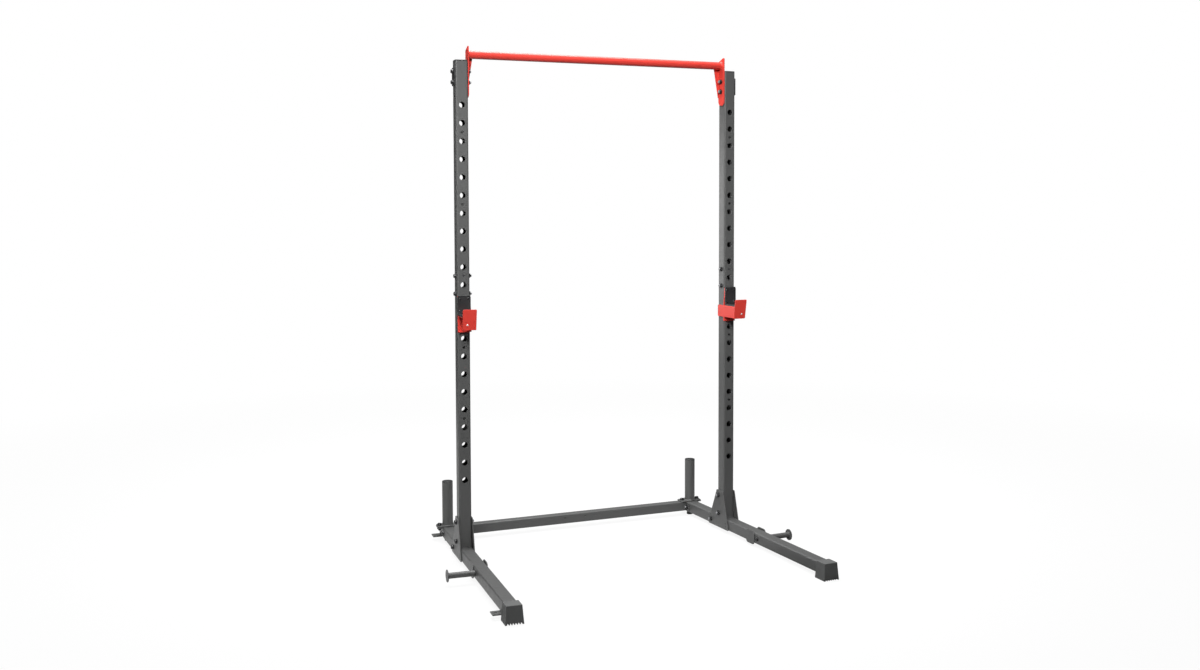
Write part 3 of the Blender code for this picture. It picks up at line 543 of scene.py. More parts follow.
# %% Which storeys are punched
PITCH, TOP_HOLE, HOLES = 0.070, 1.800, 22
PIN_HOLE, MARKER, SPARE = 0.0115, 0.0055, 0.010  # radii
MARKERS_AFTER = (1, 5, 9, 13, 17)
SPARE_HEIGHT, SPARE_STOREY = 1.838, 0.0205  # the spare hole's storey ends that far above it
WALL, CORNER = 0.0025, 0.006


def upright_stations(low, high):
    """Half-pitch storeys, with short ones left over at both ends."""
    edges = TOP_HOLE + PITCH / 4 - np.arange(2 * HOLES + 2) * PITCH / 2
    inside = sorted(z for z in [*edges, SPARE_HEIGHT + SPARE_STOREY] if low + 0.002 < z < high - 0.002)
    return [low, *inside, high]


def upright_holes(stations):
    """Maps a storey to its holes. Markers go through the front alone, the others right through."""
    punches = [((0, 2), TOP_HOLE - k * PITCH, PIN_HOLE) for k in range(HOLES)]
    punches += [((0,), TOP_HOLE - (k + 0.5) * PITCH, MARKER) for k in MARKERS_AFTER]
    punches.append(((1, 3), SPARE_HEIGHT, SPARE))
    holes = {}
    for i, (low, high) in enumerate(zip(stations, stations[1:])):
        for flats, height, radius in punches:
            if low < height < high:
                holes[i] = {k: (0.0, height, radius) for k in flats}
    return holes


print("the top metre has", len(upright_holes(upright_stations(1.0, 2.0))), "punched storeys")

# %% Punch the uprights
WELD_REACH, WELD_FRONT, WELD_RADIUS = 0.019, -0.0006, 0.0026


def weld_bead(start, end, radius, waves):
    """A rippled bead: a thin rod from start to end whose radius swells and shrinks along it."""
    start, end = np.array(start), np.array(end)
    t = np.linspace(0.0, 1.0, waves * 4 + 1)[:, None]
    turn = np.linspace(0.0, math.tau, 9)[None, :-1]
    axis = (end - start) / np.linalg.norm(end - start)
    first = np.cross(axis, (0.3, 0.5, 0.8))  # any direction that the bead doesn't run in
    first /= np.linalg.norm(first)
    second = np.cross(axis, first)
    ripple = 0.85 + 0.15 * np.cos(t * waves * math.tau)
    size = radius * ripple * np.minimum(1.0, np.minimum(t, 1 - t) * waves * 2)
    points = (start + t[..., None] * (end - start) + (size * np.cos(turn))[..., None] * first
              + (size * np.sin(turn))[..., None] * second)
    return shell(points, wrap_columns=True)


for hand in SIDES:
    for name in ("lower_upright", "upper_upright"):
        node = f"{hand}_{name}"
        low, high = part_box(node)
        stations = upright_stations(low[2], high[2])
        holes = upright_holes(stations)
        shells = moved(square_tube(stations, TUBE, TUBE, CORNER, WALL, holes), shifted(0.0, TUBE / 2, 0.0))
        if name == "lower_upright":
            foot = low[2] + 0.001
            shells.append(weld_bead((-WELD_REACH, WELD_FRONT, foot), (WELD_REACH, WELD_FRONT, foot),
                                    WELD_RADIUS, 8))
        faces = dress(f"{name}_tube", shells, grey_coat, name, hands=[hand])
        print(node, len(stations) - 1, "storeys,", len(holes), "punched,", faces, "faces")

# %% [markdown]
# ## Flat plates
#
# Collars, flanges, brackets and backing plates are cut from sheet. A plate is an outline carried
# through its thickness, and a narrow chamfer all round catches the light as a sheared edge does.
# The chamfer comes from moving the outline inwards along the mean of its neighbours' normals.

# %% Outlines and plates
def unit(vectors):
    """The vectors in each row, made 1 long."""
    return vectors / np.maximum(np.linalg.norm(vectors, axis=1, keepdims=True), 1e-9)


def rounded_outline(corners, radii, steps=5):
    """Each corner of a polygon, listed anticlockwise, becomes an arc that touches both of its sides."""
    corners = np.array(corners, float)
    radii = np.broadcast_to(np.array(radii, float), (len(corners),))
    before = unit(np.roll(corners, 1, axis=0) - corners)
    after = unit(np.roll(corners, -1, axis=0) - corners)
    half_angle = np.arccos(np.clip((before * after).sum(1), -1, 1)) / 2
    centre = corners + unit(before + after) * (radii / np.sin(half_angle))[:, None]
    start = corners + before * (radii / np.tan(half_angle))[:, None] - centre
    sweep = math.pi - 2 * half_angle
    turn = np.linspace(0.0, 1.0, steps + 1)[None, :] * sweep[:, None]
    x = start[:, None, 0] * np.cos(turn) - start[:, None, 1] * np.sin(turn)
    y = start[:, None, 0] * np.sin(turn) + start[:, None, 1] * np.cos(turn)
    return (centre[:, None, :] + np.stack([x, y], -1)).reshape(-1, 2)


def inset(outline, distance):
    """Moves each point inwards along the mean of its two sides' normals."""
    along = unit(np.roll(outline, -1, axis=0) - outline)
    normal = np.stack([-along[:, 1], along[:, 0]], 1)
    return outline + unit(normal + np.roll(normal, 1, axis=0)) * distance


def plate(outline, low, high, chamfer=0.0005):
    """The outline at both faces, with a chamfer round each. Both faces are single polygons."""
    outline = np.asarray(outline, float)
    levels = ((chamfer, low), (0.0, low + chamfer), (0.0, high - chamfer), (chamfer, high))
    rings = [np.column_stack([inset(outline, step), np.full(len(outline), z)]) for step, z in levels]
    first = np.arange(len(outline))
    last = first + 3 * len(outline)
    return shell(np.stack(rings), wrap_columns=True, more_faces=[np.stack([first[::-1], last])])


FACING_X = laid([2, 0, 1])  # an outline in y and z, with its thickness along x
FACING_Y = laid([0, 2, 1])  # an outline in x and z, with its thickness along y


def rectangle(low, high, radius, steps=5):
    """A rectangle's outline between two corners, with rounded ones."""
    corners = [low, (high[0], low[1]), high, (low[0], high[1])]
    return rounded_outline(corners, radius, steps)


print("a rounded rectangle has", len(rectangle((0, 0), (2, 1), 0.2)), "points")

# %% [markdown]
# ## The legs
#
# Each leg is two pieces of 50 by 45 mm tube. The rear one ends in a pair of collar plates with
# rounded ends that stand a little above and below the tube, and the front one slides between
# them. Flat ears with a hole are welded along the bottom at both ends, so that the rack can be
# screwed down.

# %% Sizes along the leg
LEG_WIDTH, LEG_HEIGHT, LEG_BOTTOM = 0.050, 0.045, 0.017
LEG_TOP = LEG_BOTTOM + LEG_HEIGHT
LEG_MIDDLE = LEG_BOTTOM + LEG_HEIGHT / 2
LEG_JOINT, LEG_FRONT, LEG_REAR = -0.215, -0.738, 0.392
COLLAR_FRONT, COLLAR_REAR, COLLAR_LIP = 0.034, 0.028, 0.006  # from the joint, and past the tube
COLLAR_FACE, COLLAR_WELD, COLLAR_RADIUS = 0.0288, 0.0255, 0.014
EAR, EAR_HOLE, EAR_REACH, EAR_EDGE = 0.004, 0.006, 0.036, 0.015
REAR_EAR, FRONT_EAR = (0.344, 0.388), (-0.684, -0.644)
LUG, LUG_HOLE = 0.004, 0.0053  # the ear at the leg's top, which the plate post's foot is bolted to
CROSS_Y = 0.342  # the crossmember's middle, along the leg
FOOT, FOOT_INNER, FOOT_OUTER, FOOT_WIDTH = 0.005, 0.053, 0.046, 0.048  # the post's, from its middle
INNER_BOLT, OUTER_BOLT = 0.040, 0.036
print(f"the leg is {(LEG_REAR - LEG_FRONT) * 1000:.0f} mm long")


# %% Leg tubes, collars and ears
def leg_tube(*stations):
    """A tube built upwards and laid down along the leg, so that its front wall becomes the top."""
    shells = square_tube(stations, LEG_WIDTH, LEG_HEIGHT, CORNER, WALL)
    return moved(shells, laid([0, 2, 1], (0.0, 0.0, LEG_MIDDLE), (1, 1, -1)))


def punched_plate(low, high, hole, radius, top, thickness):
    """A flat rectangle with a hole through it, closed round its edge."""
    middle = (low[0] + high[0]) / 2
    return punched_patch((high[0] - low[0]) / 2, low[1], high[1], (hole[0] - middle, hole[1]), radius,
                         thickness, lambda s, z, d: np.stack([s + middle, z, top - d], -1), close=True)


def ear(span):
    low, high = (LEG_WIDTH / 2 - 0.0012, span[0]), (LEG_WIDTH / 2 + EAR_REACH, span[1])
    hole = (high[0] - EAR_EDGE, (span[0] + span[1]) / 2)
    return punched_plate(low, high, hole, EAR_HOLE, LEG_BOTTOM + EAR, EAR)


def rear_leg_shells():
    shells = leg_tube(LEG_JOINT, LEG_REAR)
    collar = rectangle((LEG_JOINT - COLLAR_FRONT, LEG_BOTTOM - COLLAR_LIP),
                       (LEG_JOINT + COLLAR_REAR, LEG_TOP + COLLAR_LIP), COLLAR_RADIUS)
    for sign in (-1, 1):
        near, far = sorted((sign * (LEG_WIDTH / 2 - 0.0002), sign * COLLAR_FACE))
        shells += moved([plate(collar, near, far, 0.0006)], FACING_X)
    shells.append(punched_plate((LEG_WIDTH / 2 - 0.003, CROSS_Y - FOOT_WIDTH / 2),
                                (FOOT_OUTER, CROSS_Y + FOOT_WIDTH / 2),
                                (OUTER_BOLT, CROSS_Y), LUG_HOLE, LEG_TOP, LUG))
    shells.append(ear(REAR_EAR))
    for x in (-COLLAR_WELD, COLLAR_WELD):
        y = LEG_JOINT + COLLAR_REAR + 0.0005
        shells.append(weld_bead((x, y, LEG_BOTTOM + 0.006), (x, y, LEG_TOP - 0.006), 0.0022, 9))
    return shells


print("rear legs", dress("rear_leg_tube", rear_leg_shells(), grey_coat, "rear_leg"), "faces")
front_leg = leg_tube(LEG_FRONT, LEG_JOINT - 0.0003) + [ear(FRONT_EAR)]
print("front legs", dress("front_leg_tube", front_leg, grey_coat, "front_leg"), "faces")

# %% [markdown]
# ## The crossmember
#
# A 40 mm tube joins the side frames behind the uprights. Its ends are welded to flat flanges that
# follow the legs' splay. Two small holes sit near its middle, one on each side.

# %% Crossmember and flanges
CROSS, CROSS_CORNER, CROSS_FLANGE, FLANGE_LIP = 0.040, 0.004, 0.005, 0.022
CROSS_MIDDLE = LEG_TOP - CROSS / 2
CROSS_HOLE, CROSS_HOLE_X, CROSS_HOLE_Z, HALF_STOREY = 0.0028, 0.047, 0.047, 0.020
FIT = 0.0003  # between touching faces


def in_rack(point):
    """A point of the right side frame, in the rack's own x, y and z."""
    return stand(1)(np.array([point], float))[0]


flange_face = -(LEG_WIDTH / 2 + FIT)
reach = in_rack((flange_face - CROSS_FLANGE / 2, CROSS_Y, 0.0))[0]
cross_y = in_rack((flange_face, CROSS_Y, 0.0))[1]
stations = [x + end for x in (-CROSS_HOLE_X, CROSS_HOLE_X) for end in (-HALF_STOREY, HALF_STOREY)]
offset = CROSS_MIDDLE - CROSS_HOLE_Z  # a wall's own across runs downwards here
holes = {1: {0: (offset, -CROSS_HOLE_X, CROSS_HOLE)}, 3: {0: (offset, CROSS_HOLE_X, CROSS_HOLE)}}
shells = square_tube([-reach, *stations, reach], CROSS, CROSS, CROSS_CORNER, WALL, holes)
# The tube is built upwards and laid down across the rack. Its front wall stays in front.
shells = moved(shells, laid([2, 1, 0], (0.0, cross_y, CROSS_MIDDLE), (1, 1, -1)))
flange = rectangle((CROSS_Y - CROSS / 2 - FLANGE_LIP, LEG_TOP - CROSS), (CROSS_Y + CROSS / 2, LEG_TOP), 0.003)
for side in SIDES.values():
    part = plate(flange, flange_face - CROSS_FLANGE, flange_face)
    shells += moved(moved([part], FACING_X), stand(side))
hand_over("crossmember_tube", mesh_of("crossmember_tube", shells), grey_coat, "frame", ["crossmember"])
print("crossmember", round(2 * reach * 1000, 1), "mm long")

# %% [markdown]
# ## Turned pieces
#
# Bolts, nuts, pegs and caps are turned: a profile of radius against height is swept round an
# axis. A hexagon is the same sweep with a radius that depends on the angle, so a nut and the
# socket in a bolt's head need no other method. Small steps in the profile stand for rounded
# edges.

# %% Turn a profile
def hexagon(turn):
    """A hexagon's radius at each angle, for a circle of radius 1 through its corners."""
    return math.cos(math.pi / 6) / np.cos((turn % (math.pi / 3)) - math.pi / 6)


def shaped(rings, sides=48, closed=False):
    """Sweeps rings of (radius, height, share) round the z axis. The share blends a circle into a hexagon.

    closed joins the last ring to the first, which makes a bore."""
    turn = np.arange(sides) / sides * math.tau
    radius, height, share = np.array(rings, float).T
    edge = radius[:, None] * (1 - share[:, None] + share[:, None] * hexagon(turn)[None, :])
    points = np.stack([edge * np.cos(turn), edge * np.sin(turn), np.outer(height, np.ones(sides))], axis=-1)
    return shell(points, wrap_rows=closed, wrap_columns=True)


def turned(profile, sides=48):
    """The same for pairs of radius and height, all of them circles."""
    return shaped([(radius, height, 0.0) for radius, height in profile], sides)


def quarter(radius, height, edge, steps=4):
    """Profile points round an outside edge, from the side up to the top."""
    turn = quarter_turn(steps)
    return [(radius - edge + edge * math.cos(t), height - edge + edge * math.sin(t)) for t in turn]


print(f"a hexagon's flats are {hexagon(np.array(math.pi / 6)):.3f} from its middle, its corners 1")

# %% [markdown]
# ## Bolts
#
# The photograph shows dark round knobs with a bright spot, a little taller on the rack's inner
# side. Each bolt is a domed head with a hexagon socket, a plain shank and a lock nut, whose round
# collar grips the thread. The shank's end stands proud of it. A thin washer lies under the head
# and under the nut. The bright spot is a painted glint on the shank's end, which is cut after
# blackening and so is bare: thin bright caps lie over the ends as a piece of their own.

# %% A bolt and its nut
BOLT, HEAD, HEAD_TOP, HEAD_HEIGHT, LOW_HEAD_HEIGHT = 0.0048, 0.0092, 0.0044, 0.009, 0.0055
SOCKET, SOCKET_WALL, SOCKET_FLOOR = 0.0031, 0.0028, 0.0033
NUT, NUT_BORE, NUT_HEIGHT, NUT_WAIST, TAIL = 0.0098, 0.0046, 0.008, 0.0022, 0.0045
WASHER, WASHER_HEIGHT = 0.0100, 0.0012


def head_shells(tip, height=HEAD_HEIGHT):
    """A domed head and its washer above z = 0, with the shank down to its tip."""
    rise = height - WASHER_HEIGHT
    under = [(0.0, tip, 0.0), (BOLT - 0.0006, tip, 0.0), (BOLT, tip + 0.0006, 0.0),
             (BOLT, 0.0, 0.0), (WASHER, 0.0, 0.0), (WASHER, WASHER_HEIGHT, 0.0)]
    dome = [(HEAD_TOP + (HEAD - HEAD_TOP) * math.cos(t) ** 0.7, WASHER_HEIGHT + rise * math.sin(t), 0.0)
            for t in quarter_turn(6)[:-1]]
    socket = [(HEAD_TOP, height, 0.0), (SOCKET, height, 1.0), (SOCKET - 0.0001, height - SOCKET_WALL, 1.0),
              (0.0, height - SOCKET_FLOOR, 1.0)]
    return [shaped(under + dome + socket)]


def nut_shells(top):
    """A washer and a lock nut below z = top: a hexagon with its corners taken off, then a round collar."""
    seat, low = top - WASHER_HEIGHT, top - NUT_HEIGHT
    waist = low + NUT_WAIST
    rings = [(NUT_BORE, low, 0.0), (0.0064, low, 0.0), (0.0078, low + 0.0012, 0.0), (0.0080, waist, 0.0),
             (0.0086, waist, 0.0), (NUT, waist + 0.0009, 1.0), (NUT, seat, 1.0), (WASHER, seat, 0.0),
             (WASHER, top, 0.0), (NUT_BORE, top, 0.0)]
    return [shaped(rings, closed=True)]


def tip_of(grip):
    """Where the shank of a bolt ends that holds that much steel together."""
    return -(grip + FIT + NUT_HEIGHT + TAIL)


def bolt_shells(grip):
    return head_shells(tip_of(grip)) + nut_shells(-grip - 2 * FIT)


def glint_cut_end(tip):
    """A thin bright cap over the shank's bare cut end, which paints a glint on it."""
    rings = [(0.0, tip - 0.0003), (BOLT - 0.0008, tip - 0.0003), (BOLT + 0.0003, tip + 0.0008),
             (BOLT + 0.0003, tip + TAIL), (0.0, tip + TAIL)]
    return turned(rings, 24)


def pointing_outwards(*foot):
    """Lays a piece that points up along the side frame's x, with its foot at a point."""
    return laid([2, 0, 1], foot)


def pointing_inwards(*foot):
    """The same, but it points to the rack's middle."""
    return laid([2, 1, 0], foot, (-1, 1, 1))


print("a bolt and its nut have", sum(len(points) for points, _ in bolt_shells(TUBE)), "points")

# %% Bolt the rack together
GUSSET = 0.004  # its thickness
GUSSET_SEAT, SPLICE_SEAT = TUBE / 2 + FIT + GUSSET, TUBE / 2
BRACKET_SEATS = (0.0293, 0.0288)
CROSSING = {  # y, z, then the nut's seat on the inner side and the head's on the outer
    "splice_bolt_1": (TUBE / 2, 1.135, SPLICE_SEAT, SPLICE_SEAT),
    "splice_bolt_2": (TUBE / 2, 1.065, SPLICE_SEAT, SPLICE_SEAT),
    "gusset_bolt_1": (0.036, 0.157, GUSSET_SEAT, GUSSET_SEAT),
    "gusset_bolt_2": (0.034, 0.080, GUSSET_SEAT, GUSSET_SEAT),
    "gusset_bolt_3": (0.100, 0.0395, GUSSET_SEAT, GUSSET_SEAT),
    "bracket_bolt_1": (TUBE / 2, 1.888, *BRACKET_SEATS),
    "bracket_bolt_2": (TUBE / 2, 1.930, *BRACKET_SEATS),
    "crossmember_bolt": (CROSS_Y - 0.031, CROSS_MIDDLE, 0.0303, 0.025),
}
STANDING = {"post_bolt_outer": (OUTER_BOLT, 0.0093), "post_bolt_inner": (-INNER_BOLT, 0.0078)}
PEG_Y, PEG_SHANK = -0.266, 0.0679
foot_low = LEG_TOP + FIT
foot_high = foot_low + FOOT
bolts, ends = {}, []
for name, (y, z, inner, outer) in CROSSING.items():
    seat = pointing_outwards(outer + FIT, y, z)
    bolts[name] = moved(bolt_shells(inner + outer), seat)
    ends += moved([glint_cut_end(tip_of(inner + outer))], seat)
for name, (x, grip) in STANDING.items():
    bolts[name] = moved(bolt_shells(grip), shifted(x, CROSS_Y, foot_high + FIT))
bolts["peg_bolt"] = moved(head_shells(-PEG_SHANK, LOW_HEAD_HEIGHT),
                          pointing_inwards(-LEG_WIDTH / 2 - FIT, PEG_Y, LEG_MIDDLE))
# The bright caps paint a glint on the bolts' bare cut ends.
dress("bolt_end_glints", ends, glint_cut_steel)
for name, shells in bolts.items():
    dress(f"{name}_turned", shells, black_bolt, name, crease=30.0)
print(2 * len(bolts), "bolts")

# %% [markdown]
# ## Plate posts
#
# Spare plates slide onto an upright pipe behind each upright. The pipe is welded to a flat foot
# whose two ears are bolted down, and a push-in cap closes it. The weld at its foot is a small
# fillet in the turned profile.

# %% Posts and their caps
POST, POST_WALL, POST_TOP = 0.0225, 0.0025, 0.250
LID, PLUG_DEPTH = 0.003, 0.014
bore, lid_low = POST - POST_WALL, POST_TOP + FIT
pipe = [(0.0, foot_high - 0.001), (POST + 0.0032, foot_high - 0.001), (POST + 0.0032, foot_high + 0.0004),
        (POST + 0.0012, foot_high + 0.0016), (POST, foot_high + 0.0036), (POST, POST_TOP - 0.0004),
        (POST - 0.0004, POST_TOP), (bore, POST_TOP), (bore, foot_high + 0.01), (0.0, foot_high + 0.01)]
plug_low, plug = POST_TOP - PLUG_DEPTH, bore - FIT
lid = [(0.0, plug_low), (plug, plug_low), (plug, lid_low), (POST, lid_low),
       *quarter(POST, lid_low + LID, 0.0016), (0.0, lid_low + LID)]
foot = rectangle((-FOOT_INNER, CROSS_Y - FOOT_WIDTH / 2), (FOOT_OUTER, CROSS_Y + FOOT_WIDTH / 2), 0.006, 8)
on_foot = shifted(0.0, CROSS_Y, 0.0)
post = moved([turned(pipe)], on_foot) + [plate(foot, foot_low, foot_high, 0.0007)]
dress("storage_post_pipe", post, grey_coat, "storage_post")
dress("post_cap_lid", moved([turned(lid)], on_foot), black_plastic, "post_cap", crease=50.0)
print("posts", round((POST_TOP - foot_high) * 1000), "mm tall")

# %% [markdown]
# ## Band pegs
#
# A short rod with a disc on its end stands out from each leg, for an elastic band. It is one
# turned piece.

# %% Turn the pegs
PEG, PEG_END, PEG_DISC, DISC_HEIGHT = 0.011, 0.132, 0.023, 0.004
start, disc = LEG_WIDTH / 2 + FIT, PEG_END - DISC_HEIGHT
rod = [(0.0, start), (PEG - 0.0006, start), (PEG, start + 0.0006), (PEG, disc - 0.0022),
       (PEG + 0.0010, disc - 0.0006), (PEG + 0.0026, disc), (PEG_DISC - 0.0006, disc),
       (PEG_DISC, disc + 0.0006), *quarter(PEG_DISC, PEG_END, 0.0010, 3), (0.0, PEG_END)]
peg = moved([turned(rod)], pointing_outwards(0.0, PEG_Y, LEG_MIDDLE))
dress("band_peg_rod", peg, grey_coat, "band_peg", crease=40.0)
print("pegs reach", round((PEG_END - start) * 1000), "mm from the leg")

# %% [markdown]
# ## The pull-up bar
#
# A round bar is welded between two plates that bolt to the uprights' inner faces. Behind the bar
# each plate turns inwards into a web that tapers to nothing, which is what stops the bar from
# rocking. A ring of weld joins the bar to each plate.

# %% Bar, brackets and webs
BAR, BAR_Y, BAR_Z = 0.016, 0.030, 1.997
BRACKET, WEB_REACH = 0.004, 0.023
face = -(TUBE / 2 + FIT)
back = face - BRACKET
reach = in_rack((back + 0.001, BAR_Y, 0.0))[0]
bar_y = in_rack((face, BAR_Y, 0.0))[1]
bar = [(0.0, -reach), *((BAR, x) for x in np.linspace(-reach, reach, 41)), (0.0, reach)]
bracket = rounded_outline([(0.001, 1.829), (0.047, 1.829), (0.047, 2.014), (0.011, 2.028), (0.001, 2.028)],
                          [0.020, 0.020, 0.006, 0.006, 0.003], 8)
edge, root = back - WEB_REACH, back + 0.001
web = rounded_outline([(edge, 1.984), (back - 0.003, 1.863), (root, 1.863), (root, 1.994), (edge, 1.994)],
                      [0.004, 0.001, 0.0002, 0.0002, 0.003], 4)
inside, ring = BAR - 0.001, BAR + 0.0026
bead = [(inside, 0.0), (ring, 0.0), (ring - 0.0006, 0.0014), (BAR + 0.0002, 0.0030), (inside, 0.0030),
        (inside, 0.0)]
parts = moved([plate(bracket, back, face, 0.0006)], FACING_X)
parts += moved([plate(web, 0.043, 0.047, 0.0006)], FACING_Y)
parts += moved([turned(bead)], pointing_inwards(back, BAR_Y, BAR_Z))
shells = moved([turned(bar)], pointing_outwards(0.0, bar_y, BAR_Z))
for side in SIDES.values():
    shells += moved(parts, stand(side))
hand_over("pull_up_bar_pipe", mesh_of("pull_up_bar_pipe", shells), red_coat, "frame", ["pull_up_bar"])
print("bar", round(2 * reach * 1000), "mm between its plates")

# %% [markdown]
# ## Backing plates and end caps
#
# On the outer side, a black plate spreads the bracket bolts' load over the thin tube. The open
# ends of the uprights and the rear legs are closed by moulded caps with a soft edge, each a lid
# with a plug below it.

# %% Plates and caps
BACKING_LOW, BACKING_HIGH, BACKING = (0.002, 1.874), (0.048, 1.945), 0.0035
UPRIGHT_TOP = 1.970
PLUG_GAP, PLUG_CORNER = WALL + FIT, 0.0034


def push_in_cap(low, high, lid, plug, soft):
    """A lid as large as the tube and a plug inside its walls, both between two heights."""
    inner = rectangle(np.array(low) + PLUG_GAP, np.array(high) - PLUG_GAP, PLUG_CORNER)
    return [plate(rectangle(low, high, CORNER), *lid, soft), plate(inner, *plug)]


backing = rectangle(BACKING_LOW, BACKING_HIGH, 0.004)
sheet = moved([plate(backing, TUBE / 2 + FIT, TUBE / 2 + FIT + BACKING, 0.0006)], FACING_X)
upright_lid = push_in_cap((-TUBE / 2, 0.0), (TUBE / 2, TUBE), (UPRIGHT_TOP + FIT, UPRIGHT_TOP + 0.0043),
                          (UPRIGHT_TOP - 0.014, UPRIGHT_TOP + 0.0008), 0.0014)
leg_lid = push_in_cap((-LEG_WIDTH / 2, LEG_BOTTOM), (LEG_WIDTH / 2, LEG_TOP),
                      (LEG_REAR + FIT, LEG_REAR + 0.0033), (LEG_REAR - 0.014, LEG_REAR + 0.001), 0.001)
leg_lid = moved(leg_lid, FACING_Y)
dress("backing_sheet", sheet, black_plastic, "backing_plate")
dress("upright_lid", upright_lid, black_plastic, "upright_cap", crease=50.0)
dress("leg_lid", leg_lid, black_plastic, "rear_end_cap", crease=50.0)
print("caps and backing plates made")

# %% [markdown]
# ## Gusset plates
#
# The gussets are flat plates whose bolt and pin holes are already in the CAD solid. What the
# solid lacks is the soft edge that paint gives a sheared plate. So a copy of it is welded, its
# coplanar faces are joined again, and a Bevel modifier rounds every sharp edge. Its top is lifted
# a little to where the photograph has it. Two pinholes low on the inner plate are filled with
# dark discs as painted shade, each a small turned piece that stands proud of the plate.

# %% Soften a CAD solid's edges
def softened(node, width, segments=2, reshape=None):
    """A welded copy of a CAD solid, with its coplanar faces joined and its sharp edges rounded."""
    mesh = frame["nodes"][node].data.copy()
    if reshape:
        points = np.empty(3 * len(mesh.vertices), np.float32)
        mesh.vertices.foreach_get("co", points)
        mesh.vertices.foreach_set("co", reshape(points.reshape(-1, 3)).ravel())
    weld(mesh, solid=True)
    mesh.materials.clear()
    piece = hand_over(f"{node}_soft", mesh, finish_of_slot[slot_of_node[node]], body_of_node[node], [node])
    edge = piece.modifiers.new("edge", "BEVEL")
    edge.width = width
    edge.segments = segments
    edge.limit_method = "ANGLE"
    edge.angle_limit = math.radians(35.0)
    edge.harden_normals = True
    piece.modifiers.move(1, 0)


def lifted(low, high, rise):
    """A reshape that lifts the points whose height is between two values."""
    def reshape(points):
        some = (points[:, 2] > low) & (points[:, 2] < high)
        points[some, 2] += rise
        return points
    return reshape


GUSSET_TOP, GUSSET_RISE = (0.165, 0.2), 0.007
# The dark discs that fill two pinholes are painted shade, and each stands a little proud of the plate.
PINHOLE_SHADE, PINHOLE_SHADE_HEIGHT = 0.0034, 0.0044
PINHOLES = ((-0.021, 0.044), (-0.023, 0.031))  # y and z
plug = turned([(0.0, 0.0), (PINHOLE_SHADE, 0.0), (PINHOLE_SHADE, PINHOLE_SHADE_HEIGHT), (0.0, PINHOLE_SHADE_HEIGHT)], 24)
pinhole_shades = [shells for y, z in PINHOLES for shells in moved([plug], pointing_inwards(-TUBE / 2 - FIT, y, z))]
for hand in SIDES:
    for name in ("inner_gusset", "outer_gusset"):
        softened(f"{hand}_{name}", 0.0005, reshape=lifted(*GUSSET_TOP, GUSSET_RISE))
# Dark discs as painted shade in the inner gussets' pinholes.
dress("gusset_pinhole_shades", pinhole_shades, black_plastic)
print("gussets softened, with their tops", round(GUSSET_RISE * 1000), "mm higher")

# %% [markdown]
# ## Rubber boots
#
# A moulded boot closes the front of each leg. Its sides lean out to a wider sole, and grooves
# along the sole leave a row of teeth. The CAD solid already has that form. What is missing are
# the mould's soft edges, which the same bevel gives with a wider radius, and a little height: the
# grooves' tops are lifted, so that the teeth look as tall as in the photograph. The small feet
# under the rear ends are softened too.

# %% Soften the rubber
GROOVE_TOP, TOOTH_RISE = (0.0045, 0.0055), 0.004
for hand in SIDES:
    softened(f"{hand}_front_boot", 0.0012, 3, lifted(*GROOVE_TOP, TOOTH_RISE))
    softened(f"{hand}_rear_foot", 0.0006)
boot_low, boot_high = (np.array(corner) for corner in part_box("left_front_boot"))
print("boots", round(float(boot_high[2] - boot_low[2]) * 1000, 1), "mm tall")

# %% [markdown]
# ## Bar hooks
#
# Each hook is bent and welded from 4 mm steel: a back plate with the pin, a side band that wraps
# the upright, a tray, and a leaning lip that keeps the bar in. The back plate's free corner is
# drawn in, so that the plate tapers to the pad's top. A black pad lines the tray and the back
# plate, so that the bar's knurling doesn't chew the paint. Dark rivets hold it, a thin rim closes
# its top, and one bright rivet shows low on the lip.

# %% Hooks, liners and rivets
HOOK_Z = TOP_HOLE - 11 * PITCH
HOOK_TOP = 0.028  # above the pin
PAD_FACE = -0.0106  # in front of the upright
LIP_FACE = -0.0906  # at the rivet's height
RIM_HALF, RIM_LOW, RIM_HIGH = 0.026, HOOK_Z + HOOK_TOP - 0.0004, HOOK_Z + HOOK_TOP + 0.0016
PAD_RIVETS = [(x, PAD_FACE + FIT, HOOK_Z + z) for x in (-0.0165, 0.0165) for z in (-0.031, 0.0175)]
LIP_RIVET = (0.006, LIP_FACE + FIT, HOOK_Z - 0.078)
PAD_DOME, LIP_DOME = (0.0050, 0.0026), (0.0042, 0.0018)  # radius and height


def rivet(radius, height):
    """A low dome on a flat base."""
    return turned([(0.0, 0.0), *((radius * math.cos(t), height * math.sin(t)) for t in quarter_turn(5))], 24)


def pointing_forwards(*foot):
    """Turns a piece that points up so that it points to the front, from a point on a plate."""
    return laid([0, 2, 1], foot, (1, -1, 1))


def tapered_back(side):
    """Draws in the top corner of the hook's back plate, so that the plate narrows to the pad's top."""
    def reshape(points):
        local = unstand(side)(points)
        corner = (local[:, 0] < -TUBE / 2) & (local[:, 2] > HOOK_Z + HOOK_TOP - 0.001)
        local[corner, 0] = -TUBE / 2
        return stand(side)(local)
    return reshape


rim = [plate(rectangle((-RIM_HALF, PAD_FACE), (RIM_HALF, -FIT), 0.0015), RIM_LOW, RIM_HIGH, 0.0006)]
pad_rivets = [moved([rivet(*PAD_DOME)], pointing_forwards(*spot))[0] for spot in PAD_RIVETS]
lip_rivet = moved([rivet(*LIP_DOME)], pointing_forwards(*LIP_RIVET))
for hand, side in SIDES.items():
    softened(f"{hand}_hook_bracket", 0.0014, 3, tapered_back(side))
    softened(f"{hand}_hook_liner", 0.0012)
dress("pad_rim", rim, black_plastic, body="hook")
dress("pad_rivets", pad_rivets, black_bolt, body="hook")
dress("lip_rivet", lip_rivet, bright_steel, body="hook")
print("hooks and liners dressed, with", len(pad_rivets), "rivets each on their pads")

